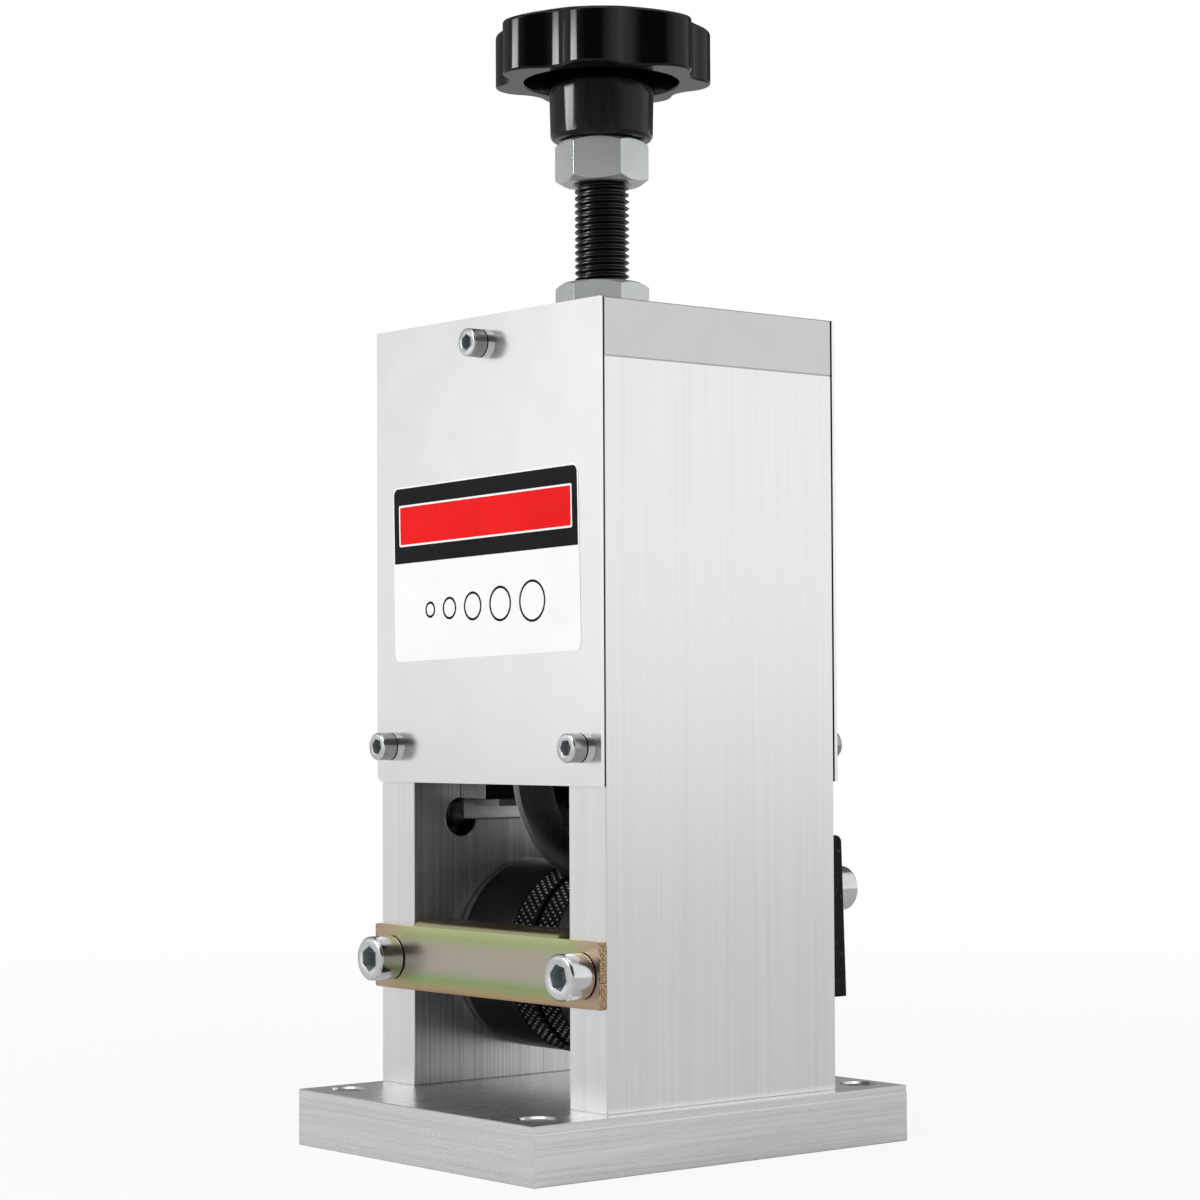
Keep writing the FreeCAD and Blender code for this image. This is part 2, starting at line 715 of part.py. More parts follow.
def make_grip_spindle():
    """Shoulder bolt through the grip, screwed into the crank arm."""
    head_seat = grip_start_x() - grip_length + grip_counterbore_depth - grip_gap
    head_end = head_seat - spindle_head_height
    profile = [(shaft_shoulder_x, 0), (shaft_shoulder_x, spindle_radius - spindle_chamfer),
               (shaft_shoulder_x - spindle_chamfer, spindle_radius), (head_seat, spindle_radius),
               (head_seat, spindle_head_radius), (head_end + spindle_chamfer, spindle_head_radius),
               (head_end, spindle_head_radius - spindle_chamfer), (head_end, 0)]
    spindle = turned_x(profile, 0)
    socket = hexagon(m6_screw["socket"], 0, spindle_head_height)
    socket = pointed(socket, "-x", Vector(head_end + spindle_socket_depth, 0, 0))
    spindle = spindle.cut(socket)
    spindle.translate(Vector(0, crank_radius, drive_z))
    return spindle


def make_crank_grip():
    """Turning grip with a soft belly and a counterbored end."""
    start = grip_start_x()
    finish = start - grip_length
    bore = spindle_radius + running_gap
    counterbore = spindle_head_radius + spot_face_clearance
    stations = [(0.0, grip_end_radius - 1.5), (0.02, grip_end_radius), (0.12, grip_end_radius + 0.6)]
    stations += [(0.3, grip_belly_radius - 0.7), (0.55, grip_belly_radius), (0.8, grip_belly_radius - 0.9)]
    stations += [(0.95, grip_end_radius + 0.4), (0.99, grip_end_radius - 0.8), (1.0, grip_end_radius - 2.0)]
    skin = Part.BSplineCurve()
    skin.interpolate([Vector(start - share * grip_length, crank_radius, drive_z + radius)
                      for share, radius in stations])
    seat = finish + grip_counterbore_depth
    inside = [(finish, stations[-1][1]), (finish, counterbore), (seat, counterbore), (seat, bore),
              (start, bore), (start, stations[0][1])]
    corners = [Vector(x, crank_radius, drive_z + radius) for x, radius in inside]
    outline = Part.Wire([skin.toShape()] + Part.makePolygon(corners).Edges)
    return Part.Face(outline).revolve(Vector(0, crank_radius, drive_z), X_AXIS, 360)


# ---- blade carriage -----------------------------------------------------------------------
def make_bearing_block():
    """Right sliding block: its outer part runs in the pocket, and the blade axle turns in it."""
    body = soft_block(block_inner_x, block_outer_x, -block_half_depth, block_half_depth,
                      block_bottom_z, block_top_z)
    tools = [bar_x(bush_outer_radius, block_inner_x - 1, block_outer_x + 1, 0, blade_z)]
    for y in (-block_screw_y, block_screw_y):
        tools.append(bar_z(m8_screw["shank"], crosshead_top_z - counterbore_depth - block_screw_length,
                           block_top_z + 1, block_screw_x, y))
    for place in keeper_screw_places():
        tools.append(bar_z(m4_screw["shank"], place.z, place.z + keeper_screw_length, place.x, place.y))
    return drilled(body, tools)


def make_axle_bush():
    """Bronze bush of the right block."""
    bush = bar_x(bush_outer_radius, block_inner_x, block_outer_x, 0, blade_z)
    return bush.cut(bar_x(journal_radius + running_gap, block_inner_x - 1, block_outer_x + 1, 0, blade_z))


def keeper_screw_places():
    """Two countersunk screws hold each keeper plate."""
    middle = (block_inner_x + inner_face) / 2
    bottom = block_bottom_z - keeper_thickness
    return [Vector(middle, y, bottom) for y in (-keeper_screw_y, keeper_screw_y)]


def make_keeper_plate():
    """Thin plate under the right block."""
    plate = block(block_inner_x + keeper_inset, inner_face - keeper_inset,
                  -keeper_half_depth, keeper_half_depth, block_bottom_z - keeper_thickness, block_bottom_z)
    tools = []
    for place in keeper_screw_places():
        tools.append(Part.makeCone(m4_screw["head"], m4_screw["shank"], countersink_depth, place, Z_AXIS))
        tools.append(bar_z(m4_screw["shank"], place.z, block_bottom_z + 1, place.x, place.y))
    return drilled(plate, tools)


def make_keeper_screws():
    """Countersunk screws of both keeper plates."""
    screws = []
    for place in keeper_screw_places():
        head = Part.makeCone(m4_screw["head"], m4_screw["shank"], countersink_depth, place, Z_AXIS)
        shank = bar_z(m4_screw["shank"], place.z + countersink_depth, place.z + keeper_screw_length,
                      place.x, place.y)
        socket = hexagon(m4_screw["socket"], 0, keeper_socket_depth)
        socket.translate(place)
        screw = head.fuse(shank).cut(socket)
        screws += [screw, mirrored(screw)]
    return Part.makeCompound(screws)


def make_crosshead():
    """Cross piece on top of the two blocks; the pressure screw turns in it and lifts it."""
    body = soft_block(-block_outer_x, block_outer_x, -block_half_depth, block_half_depth,
                      block_top_z, crosshead_top_z)
    tools = [bar_z(neck_radius + running_gap, block_top_z - 1, crosshead_top_z + 1)]
    tools.append(bar_z(collar_recess_radius, block_top_z - 1, block_top_z + collar_recess_depth))
    for place in corner_places(block_screw_x, block_screw_y):
        tools.append(bar_z(m8_screw["shank"], block_top_z - 1, crosshead_top_z, place.x, place.y))
        tools.append(bar_z(counterbore_radius, crosshead_top_z - counterbore_depth, crosshead_top_z + 1,
                           place.x, place.y))
    return drilled(body, tools)


def make_block_screws():
    """Four screws from the crosshead into the blocks."""
    places = corner_places(block_screw_x, block_screw_y, crosshead_top_z - counterbore_depth)
    screw = socket_screw(m8_screw, block_screw_length)
    return Part.makeCompound([pointed(screw, "+z", place) for place in places])


def make_thrust_washer():
    """Bronze washer between the crosshead and the shoulder of the pressure screw."""
    washer = bar_z(thrust_washer_radius, crosshead_top_z, washer_top_z)
    return washer.cut(bar_z(neck_radius + running_gap, crosshead_top_z - 1, washer_top_z + 1))


def make_blade_axle():
    """Stepped axle that carries the blade between the two blocks."""
    end = block_outer_x - axle_end_gap
    step = block_inner_x - axle_shoulder_gap
    profile = [(-end, 0), (-end, journal_radius - axle_chamfer), (-end + axle_chamfer, journal_radius),
               (-step, journal_radius), (-step, axle_radius), (step, axle_radius), (step, journal_radius),
               (end - axle_chamfer, journal_radius), (end, journal_radius - axle_chamfer), (end, 0)]
    return turned_x(profile, blade_z)


def flange_screw_places():
    """Screws through both flanges, on a circle about the axle."""
    places = []
    for step in range(flange_screw_count):
        angle = math.radians(90 + 360 * step / flange_screw_count)
        y = flange_screw_circle * math.cos(angle)
        z = flange_screw_circle * math.sin(angle)
        places.append((y, blade_z + z))
    return places


def flange_holes():
    """Holes for the axle and the flange screws."""
    reach = flange_thickness + blade_thickness
    holes = [bar_x(axle_radius, -reach, reach, 0, blade_z)]
    return holes + [bar_x(m5_screw["shank"], -reach, reach, y, z) for y, z in flange_screw_places()]


def make_blade_disc():
    """Round cutting disc, bevelled on both faces at the rim."""
    half = blade_thickness / 2
    edge = blade_edge_thickness / 2
    profile = [(-half, 0), (-half, blade_radius - blade_bevel), (-edge, blade_radius), (edge, blade_radius),
               (half, blade_radius - blade_bevel), (half, 0)]
    return drilled(turned_x(profile, blade_z), flange_holes())


def make_blade_flange():
    """Right clamping flange; the left one is its mirror image."""
    inner = blade_thickness / 2
    outer = inner + flange_thickness
    profile = [(inner, 0), (inner, flange_radius), (outer - flange_chamfer, flange_radius),
               (outer, flange_radius - flange_chamfer), (outer, 0)]
    return drilled(turned_x(profile, blade_z), flange_holes())


def make_flange_screws():
    """Short screws that clamp the blade between its flanges."""
    length = 2 * flange_thickness + blade_thickness - 1
    seat = blade_thickness / 2 + flange_thickness
    screws = []
    for y, z in flange_screw_places():
        screw = socket_screw(m5_screw, length)
        screw.rotate(ORIGIN, Y_AXIS, 90)
        screw.translate(Vector(seat, y, z))
        screws.append(screw)
    return Part.makeCompound(screws)


def make_axle_spacers():
    """Two sleeves that keep the flanges in the middle of the axle."""
    start = blade_thickness / 2 + flange_thickness
    right = bar_x(spacer_outer_radius, start, block_inner_x - axle_shoulder_gap, 0, blade_z)
    right = right.cut(bar_x(axle_radius, start - 1, block_inner_x + 1, 0, blade_z))
    return Part.makeCompound([right, mirrored(right)])


# ---- pressure screw and knob --------------------------------------------------------------
def make_pressure_screw():
    """M20 screw: plain neck held in the crosshead, ring-cut thread above it."""
    thread_low = washer_top_z + thrust_gap
    thread_high = knob_hub_bottom_z + knob_bore_depth - 1
    profile = [(0, neck_bottom_z), (neck_radius - axle_chamfer, neck_bottom_z),
               (neck_radius, neck_bottom_z + axle_chamfer), (neck_radius, thread_low),
               (screw_root_radius, thread_low)]
    turns = int((thread_high - thread_low) / screw_pitch)
    flat = screw_pitch / 8
    for turn in range(turns):
        z = thread_low + turn * screw_pitch
        profile.append((screw_root_radius, z + flat))
        profile.append((screw_radius, z + screw_pitch / 2 - flat / 2))
        profile.append((screw_radius, z + screw_pitch / 2 + flat / 2))
        profile.append((screw_root_radius, z + screw_pitch - flat))
    profile += [(screw_root_radius, thread_high), (0, thread_high)]
    return turned_z(profile).cut(collar_pin_bar())


def collar_pin_bar():
    """The pin that fixes the collar to the screw's neck."""
    middle = block_top_z + collar_recess_depth - thrust_gap - collar_height / 2
    reach = collar_radius - collar_pin_inset
    return bar_y(collar_pin_radius, -reach, reach, 0, middle)


def make_screw_collar():
    """Collar under the crosshead, so that the screw can lift the carriage."""
    top = block_top_z + collar_recess_depth - thrust_gap
    collar = bar_z(collar_radius, top - collar_height, top).cut(bar_z(neck_radius, neck_bottom_z, top + 1))
    return collar.cut(collar_pin_bar())


def make_nut(bottom_z, bore_radius, turn):
    """Hexagon nut with both faces chamfered."""
    corner_radius = nut_across_flats / 2 / math.cos(math.radians(30))
    face_radius = nut_across_flats / 2 * nut_face_share
    drop = (corner_radius - face_radius) * math.tan(math.radians(30))
    top_z = bottom_z + nut_height
    envelope = turned_z([(0, bottom_z), (face_radius, bottom_z), (corner_radius, bottom_z + drop),
                         (corner_radius, top_z - drop), (face_radius, top_z), (0, top_z)])
    body = hexagon(nut_across_flats, bottom_z, nut_height, turn).common(envelope)
    flare = bore_radius + nut_bore_chamfer
    tools = [bar_z(bore_radius, bottom_z - 1, top_z + 1)]
    for face_z, inward in ((bottom_z, Z_AXIS), (top_z, Vector(0, 0, -1))):
        tools.append(Part.makeCone(flare, bore_radius, nut_bore_chamfer, Vector(0, 0, face_z), inward))
    return drilled(body, tools)


def lobed_outline(z):
    """Star outline: round lobes joined by tangent hollows."""
    half_step = math.pi / knob_lobe_count
    lobe_centre = knob_radius - knob_lobe_radius
    reach = lobe_centre * math.cos(half_step)
    hollow_radius = (lobe_centre ** 2 + knob_root_radius ** 2 - 2 * reach * knob_root_radius
                     - knob_lobe_radius ** 2) / (2 * (knob_lobe_radius - knob_root_radius + reach))
    hollow_centre = knob_root_radius + hollow_radius

    def at(radius, angle):
        return Vector(radius * math.cos(angle), radius * math.sin(angle), z)

    def touch(lobe_angle, hollow_angle):
        lobe = at(lobe_centre, lobe_angle)
        hollow = at(hollow_centre, hollow_angle)
        return lobe + (hollow - lobe).normalize() * knob_lobe_radius

    edges = []
    for lobe in range(knob_lobe_count):
        angle = math.radians(knob_turn) + 2 * half_step * lobe
        before = touch(angle, angle - half_step)
        after = touch(angle, angle + half_step)
        following = touch(angle + 2 * half_step, angle + half_step)
        edges.append(Part.Arc(before, at(knob_radius, angle), after).toShape())
        edges.append(Part.Arc(after, at(knob_root_radius, angle + half_step), following).toShape())
    return Part.Wire(edges)


def make_star_knob():
    """Seven-lobed moulded knob with a domed top, a long hub and a hollow around it underneath."""
    rim = Part.Face(lobed_outline(knob_rim_bottom_z)).extrude(Vector(0, 0, knob_rim_height))
    rim = rim.common(Part.makeSphere(knob_dome_radius, Vector(0, 0, knob_top_z - knob_dome_radius)))
    middle_z = knob_rim_bottom_z + knob_rim_height / 2
    upper = [edge for edge in rim.Edges if edge.BoundBox.ZMin > middle_z]
    rim = rim.makeFillet(knob_edge_round, upper)
    lower = [edge for edge in rim.Edges if edge.BoundBox.ZMax < knob_rim_bottom_z + 0.01]
    rim = rim.makeFillet(knob_lower_round, lower)
    recess_top = knob_rim_bottom_z + knob_recess_depth
    recess = turned_z([(0, knob_rim_bottom_z - 1), (knob_recess_radius, knob_rim_bottom_z - 1),
                       (knob_recess_radius, knob_rim_bottom_z),
                       (knob_recess_radius - knob_recess_draft, recess_top - knob_recess_shoulder),
                       (knob_recess_radius - knob_recess_floor_inset, recess_top), (0, recess_top)])
    bottom = knob_hub_bottom_z
    hub = turned_z([(0, bottom), (knob_hub_radius - knob_hub_round, bottom),
                    (knob_hub_radius - knob_hub_foot, bottom + knob_hub_foot),
                    (knob_hub_radius, bottom + knob_hub_round), (knob_hub_top_radius, recess_top - 1),
                    (knob_hub_top_radius + 1, recess_top + knob_hub_foot), (0, recess_top + knob_hub_foot)])
    bore = bar_z(screw_radius, bottom - 1, bottom + knob_bore_depth)
    return rim.cut(recess).fuse(hub).removeSplitter().cut(bore)


# ---- all nodes ----------------------------------------------------------------------------
def build_nodes():
    """Every piece of the machine by its node name."""
    bearing_pieces = {
        "bearing_outer_ring": make_bearing_outer(),
        "bearing_inner_ring": make_bearing_inner(),
        "bearing_balls": make_bearing_balls(),
        "bearing_clip": make_bearing_clip(),
    }
    carriage_pieces = {
        "bearing_block": make_bearing_block(),
        "axle_bush": make_axle_bush(),
        "keeper_plate": make_keeper_plate(),
        "blade_flange": make_blade_flange(),
    }
    nodes = {
        "base_plate": make_base_plate(),
        "left_side_plate": make_left_side_plate(),
        "right_side_plate": make_right_side_plate(),
        "top_plate": make_top_plate(),
        "front_cover": make_cover(-1),
        "rear_cover": make_cover(1),
        "front_cover_screws": make_cover_screws(-1),
        "rear_cover_screws": make_cover_screws(1),
        "cover_washers": make_cover_washers(),
        "blank_label": make_label(),
        "base_screws": make_base_screws(),
        "top_plate_screws": make_top_screws(),
        "outlet_bracket": make_outlet_bracket(),
        "outlet_bracket_screws": make_bracket_screws(),
        "inlet_plate": make_inlet_plate(),
        "inlet_plate_screws": make_inlet_screws(),
        "shaft_seal": make_shaft_seal(),
        "roller_spacers": make_roller_spacers(),
        "keeper_screws": make_keeper_screws(),
        "crosshead": make_crosshead(),
        "block_screws": make_block_screws(),
        "thrust_washer": make_thrust_washer(),
        "blade_axle": make_blade_axle(),
        "blade_disc": make_blade_disc(),
        "flange_screws": make_flange_screws(),
        "axle_spacers": make_axle_spacers(),
        "pressure_screw": make_pressure_screw(),
        "screw_collar": make_screw_collar(),
        "collar_pin": collar_pin_bar(),
        "knob_nut": make_nut(knob_nut_bottom_z, screw_radius, nut_turn),
        "lock_nut": make_nut(body_top_z, screw_radius + screw_running_gap, nut_turn),
        "star_knob": make_star_knob(),
    }
    crank_pieces = {
        "drive_shaft": make_drive_shaft(),
        "roller_key": make_roller_key(),
        "feed_roller": make_feed_roller(),
        "crank_arm": make_crank_arm(),
        "crank_washer": make_crank_washer(),
        "crank_screw": make_crank_screw(),
        "grip_spindle": make_grip_spindle(),
        "crank_grip": make_crank_grip(),
    }
    for name, shape in crank_pieces.items():
        nodes[name] = swung(shape)
    for name, shape in {**bearing_pieces, **carriage_pieces}.items():
        nodes["right_" + name] = shape
        nodes["left_" + name] = mirrored(shape)
    return nodes


os.makedirs("parts", exist_ok=True)
for node_name, node_shape in build_nodes().items():
    node_shape.exportStep(os.path.join("parts", node_name + ".step"))
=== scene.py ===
import math

import bmesh
import bpy
from mathutils import Matrix, Vector


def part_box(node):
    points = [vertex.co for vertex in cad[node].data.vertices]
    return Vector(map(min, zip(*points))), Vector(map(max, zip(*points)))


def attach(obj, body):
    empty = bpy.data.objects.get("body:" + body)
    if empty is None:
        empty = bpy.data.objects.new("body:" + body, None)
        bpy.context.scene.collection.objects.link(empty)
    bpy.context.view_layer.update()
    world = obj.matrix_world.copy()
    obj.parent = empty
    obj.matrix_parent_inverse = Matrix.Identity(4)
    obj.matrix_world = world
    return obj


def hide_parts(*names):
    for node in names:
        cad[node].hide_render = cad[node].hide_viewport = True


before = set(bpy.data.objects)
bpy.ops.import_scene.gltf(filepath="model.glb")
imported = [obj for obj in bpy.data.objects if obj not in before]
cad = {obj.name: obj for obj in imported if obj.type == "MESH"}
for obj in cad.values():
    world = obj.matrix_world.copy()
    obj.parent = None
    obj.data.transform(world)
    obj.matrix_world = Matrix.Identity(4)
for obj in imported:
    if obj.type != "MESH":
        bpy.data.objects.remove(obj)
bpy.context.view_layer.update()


# small tools

def clearSelection():
    if bpy.context.object and bpy.context.object.mode != "OBJECT":
        bpy.ops.object.mode_set(mode="OBJECT")
    bpy.ops.object.select_all(action="DESELECT")


def pick(obj):
    clearSelection()
    obj.select_set(True)
    bpy.context.view_layer.objects.active = obj
    return obj


def bakePlace(obj):
    # the finished object sits at the origin, its place is in its mesh
    pick(obj)
    bpy.ops.object.transform_apply(location=True, rotation=True, scale=True)


def paint(obj, material):
    obj.data.materials.clear()
    obj.data.materials.append(material)


def openMesh(obj, kind="FACE"):
    pick(obj)
    bpy.ops.object.mode_set(mode="EDIT")
    bpy.ops.mesh.select_mode(type=kind)
    bpy.ops.mesh.select_all(action="DESELECT")


def closeMesh():
    bpy.ops.object.mode_set(mode="OBJECT")


def selectParts(obj, kind, test):
    bpy.ops.mesh.select_mode(type=kind)
    bpy.ops.mesh.select_all(action="DESELECT")
    mesh = bmesh.from_edit_mesh(obj.data)
    for part in {"FACE": mesh.faces, "EDGE": mesh.edges, "VERT": mesh.verts}[kind]:
        if test(part):
            part.select_set(True)
    bmesh.update_edit_mesh(obj.data)


def selectFaces(obj, test):
    selectParts(obj, "FACE", lambda face: test(face.calc_center_median(), face.normal))


def selectEdges(obj, test):
    selectParts(obj, "EDGE", lambda edge: test(edge.verts[0].co, edge.verts[1].co))


def selectVerts(obj, test):
    selectParts(obj, "VERT", lambda vert: test(vert.co))


def extrudeBy(x=0.0, y=0.0, z=0.0):
    bpy.ops.mesh.extrude_region_move(TRANSFORM_OT_translate={"value": (x, y, z)})


def faceOutwards():
    bpy.ops.mesh.select_all(action="SELECT")
    bpy.ops.mesh.normals_make_consistent(inside=False)


def fillOpenEnds():
    bpy.ops.mesh.select_mode(type="EDGE")
    bpy.ops.mesh.select_all(action="DESELECT")
    bpy.ops.mesh.select_non_manifold(extend=False)
    bpy.ops.mesh.fill_holes(sides=0)
    faceOutwards()


def turnRings(name, sides, rings):
    # a turned body along Z: one ring, pulled and resized from place to place
    clearSelection()
    place, radius = rings[0]
    bpy.ops.mesh.primitive_circle_add(vertices=sides, radius=radius, location=(0, 0, place))
    obj = bpy.context.object
    obj.name = name
    bakePlace(obj)
    openMesh(obj, "EDGE")
    bpy.ops.mesh.select_all(action="SELECT")
    for nextPlace, nextRadius in rings[1:]:
        extrudeBy(z=nextPlace - place)
        grow = nextRadius / radius
        bpy.ops.transform.resize(value=(grow, grow, 1.0), center_override=(0, 0, nextPlace))
        place, radius = nextPlace, nextRadius
    return obj


def applyModifier(obj, kind, **settings):
    pick(obj)
    modifier = obj.modifiers.new(kind.lower(), kind)
    for label, value in settings.items():
        setattr(modifier, label, value)
    bpy.ops.object.modifier_apply(modifier=modifier.name)


def smoothByAngle(obj, degrees=30.0):
    pick(obj)
    bpy.ops.object.shade_smooth_by_angle(angle=math.radians(degrees))


def cutWith(obj, tool):
    applyModifier(obj, "BOOLEAN", operation="DIFFERENCE", solver="EXACT", object=tool)
    bpy.data.objects.remove(tool)


def joinPieces(pieces, name):
    clearSelection()
    for piece in pieces:
        piece.select_set(True)
    bpy.context.view_layer.objects.active = pieces[0]
    bpy.ops.object.join()
    pieces[0].name = name
    return pieces[0]


def assignFinish(obj, material, test):
    # gives the faces that pass the test a finish of their own
    obj.data.materials.append(material)
    openMesh(obj)
    selectFaces(obj, test)
    obj.active_material_index = len(obj.data.materials) - 1
    bpy.ops.object.material_slot_assign()
    closeMesh()


def handOver(obj, body, slot, *nodes):
    # the piece moves with its body and stands for its CAD nodes
    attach(obj, body)
    if nodes:
        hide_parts(*nodes)


# tools for node trees
noiseSpan = (0.3, 0.7)  # a noise texture's values lie mostly between these
rangeLabels = ("From Min", "From Max", "To Min", "To Max")


def feed(links, socket, value):
    # a socket takes another one's result, a plain number or a colour
    if isinstance(value, (int, float)):
        socket.default_value = value
    elif isinstance(value, tuple):
        socket.default_value = (*value, 1.0)
    else:
        links.new(value, socket)


def addMath(nodes, links, operation, first, second=0.0):
    node = nodes.new("ShaderNodeMath")
    node.operation = operation
    feed(links, node.inputs[0], first)
    feed(links, node.inputs[1], second)
    return node.outputs[0]


def addBlend(nodes, links, share, low, high):
    blend = nodes.new("ShaderNodeMix")
    blend.data_type = "RGBA"
    feed(links, blend.inputs["Factor"], share)
    feed(links, blend.inputs[6], low)
    feed(links, blend.inputs[7], high)
    return blend.outputs[2]


def addSplit(nodes, links, vector):
    split = nodes.new("ShaderNodeSeparateXYZ")
    links.new(vector, split.inputs["Vector"])
    return split.outputs


def addPlace(nodes, links):
    # the object's own coordinates, whole and one by one
    place = nodes.new("ShaderNodeTexCoord").outputs["Object"]
    return place, addSplit(nodes, links, place)


def addMapping(nodes, links, vector, **values):
    mapping = nodes.new("ShaderNodeMapping")
    for label, value in values.items():
        mapping.inputs[label].default_value = value
    links.new(vector, mapping.inputs["Vector"])
    return mapping.outputs["Vector"]


def addLength(nodes, links, vector):
    reach = nodes.new("ShaderNodeVectorMath")
    reach.operation = "LENGTH"
    links.new(vector, reach.inputs[0])
    return reach.outputs["Value"]


def addNoise(nodes, links, vector, **values):
    noise = nodes.new("ShaderNodeTexNoise")
    for label, value in values.items():
        feed(links, noise.inputs[label], value)
    links.new(vector, noise.inputs["Vector"])
    return noise.outputs["Fac"]


def addSpan(nodes, links, source, start, end, low=0.0, high=1.0):
    # moves from low to high while the source moves from start to end
    span = nodes.new("ShaderNodeMapRange")
    for label, value in zip(rangeLabels, (start, end, low, high)):
        span.inputs[label].default_value = value
    links.new(source, span.inputs["Value"])
    return span.outputs["Result"]


def addRamp(nodes, links, source, stops):
    ramp = nodes.new("ShaderNodeValToRGB")
    elements = ramp.color_ramp.elements
    stops = list(stops)
    while len(elements) < len(stops):
        elements.new(0.5)  # it gets its place below
    for element, (place, colour) in zip(elements, stops):
        element.position = place
        element.color = (*colour, 1.0)
    links.new(source, ramp.inputs["Fac"])
    return ramp.outputs["Color"]


def addGroup(nodes, links, group, vector, **values):
    node = nodes.new("ShaderNodeGroup")
    node.node_tree = group
    for label, value in values.items():
        node.inputs[label].default_value = value
    links.new(vector, node.inputs["Vector"])
    return node.outputs


def startMaterial(name):
    material = bpy.data.materials.new(name)
    material.use_nodes = True
    tree = material.node_tree
    return material, tree.nodes, tree.links, tree.nodes["Principled BSDF"]


# node groups shared by the finishes

def startGroup(name, inputs, outputs):
    group = bpy.data.node_groups.new(name, "ShaderNodeTree")
    for label, kind, value in inputs:
        socket = group.interface.new_socket(name=label, in_out="INPUT", socket_type=kind)
        if value is not None:
            socket.default_value = value
    for label in outputs:
        group.interface.new_socket(name=label, in_out="OUTPUT", socket_type="NodeSocketFloat")
    given = group.nodes.new("NodeGroupInput").outputs
    result = group.nodes.new("NodeGroupOutput").inputs
    return group, group.nodes, group.links, given, result


grainLook = {"fineDetail": 4.0, "fineRoughness": 0.7, "wideShare": 0.22, "wideDetail": 2.0, "wideMix": 0.25}


def buildMachinedGrain():
    # long scratches along one direction, in two widths
    look = grainLook
    group, nodes, links, given, result = startGroup(
        "machinedGrain", [("Vector", "NodeSocketVector", None), ("Across", "NodeSocketFloat", 1500.0)],
        ["Streaks"])
    vector, across = given["Vector"], given["Across"]
    fine = addNoise(nodes, links, vector, Scale=across, Detail=look["fineDetail"],
                    Roughness=look["fineRoughness"])
    wideScale = addMath(nodes, links, "MULTIPLY", across, look["wideShare"])
    wide = addNoise(nodes, links, vector, Scale=wideScale, Detail=look["wideDetail"])
    mix = nodes.new("ShaderNodeMix")
    mix.inputs["Factor"].default_value = look["wideMix"]
    links.new(fine, mix.inputs["A"])
    links.new(wide, mix.inputs["B"])
    links.new(mix.outputs["Result"], result["Streaks"])
    return group


speckLook = {"speckDetail": 3.0, "smudgeScale": 45.0, "smudgeDetail": 4.0, "smudgeDistortion": 0.6}


def buildFineSpeck():
    # the small even unevenness of a plated, moulded or blasted skin
    look = speckLook
    group, nodes, links, given, result = startGroup(
        "fineSpeck", [("Vector", "NodeSocketVector", None), ("Size", "NodeSocketFloat", 900.0)],
        ["Speck", "Smudge"])
    vector = given["Vector"]
    speck = addNoise(nodes, links, vector, Scale=given["Size"], Detail=look["speckDetail"])
    smudge = addNoise(nodes, links, vector, Scale=look["smudgeScale"], Detail=look["smudgeDetail"],
                      Distortion=look["smudgeDistortion"])
    links.new(speck, result["Speck"])
    links.new(smudge, result["Smudge"])
    return group


machinedGrain = buildMachinedGrain()
fineSpeck = buildFineSpeck()


# kinds of material, and where the colours of their patterns begin and end
rampPlaces = {"streaks": (0.32, 0.52, 0.7), "coarse": (0.4, 0.6), "blotch": (0.4, 0.62),
              "smudge": (0.35, 0.65), "fleck": (0.62, 0.7)}
black, white = (0.0, 0.0, 0.0), (1.0, 1.0, 1.0)
# near black, painted on a cover's strip where the gap to the plate lies in shade
gapShadeColour = (0.01, 0.01, 0.01)
# holds unless a look says otherwise
commonLook = {"metallic": 0.0, "anisotropic": 0.0, "specular": 0.5, "depth": 0.00005}


def closeShader(nodes, links, shader, look, colour, smear, height):
    # smear varies the roughness, and height raises the bump
    look = {**commonLook, **look}
    links.new(colour, shader.inputs["Base Color"])
    low, high = look["roughness"]
    links.new(addSpan(nodes, links, smear, *noiseSpan, low, high), shader.inputs["Roughness"])
    shader.inputs["Metallic"].default_value = look["metallic"]
    shader.inputs["Anisotropic"].default_value = look["anisotropic"]
    shader.inputs["Specular IOR Level"].default_value = look["specular"]
    bump = nodes.new("ShaderNodeBump")
    bump.inputs["Strength"].default_value = look["bump"]
    bump.inputs["Distance"].default_value = look["depth"]
    links.new(height, bump.inputs["Height"])
    links.new(bump.outputs["Normal"], shader.inputs["Normal"])


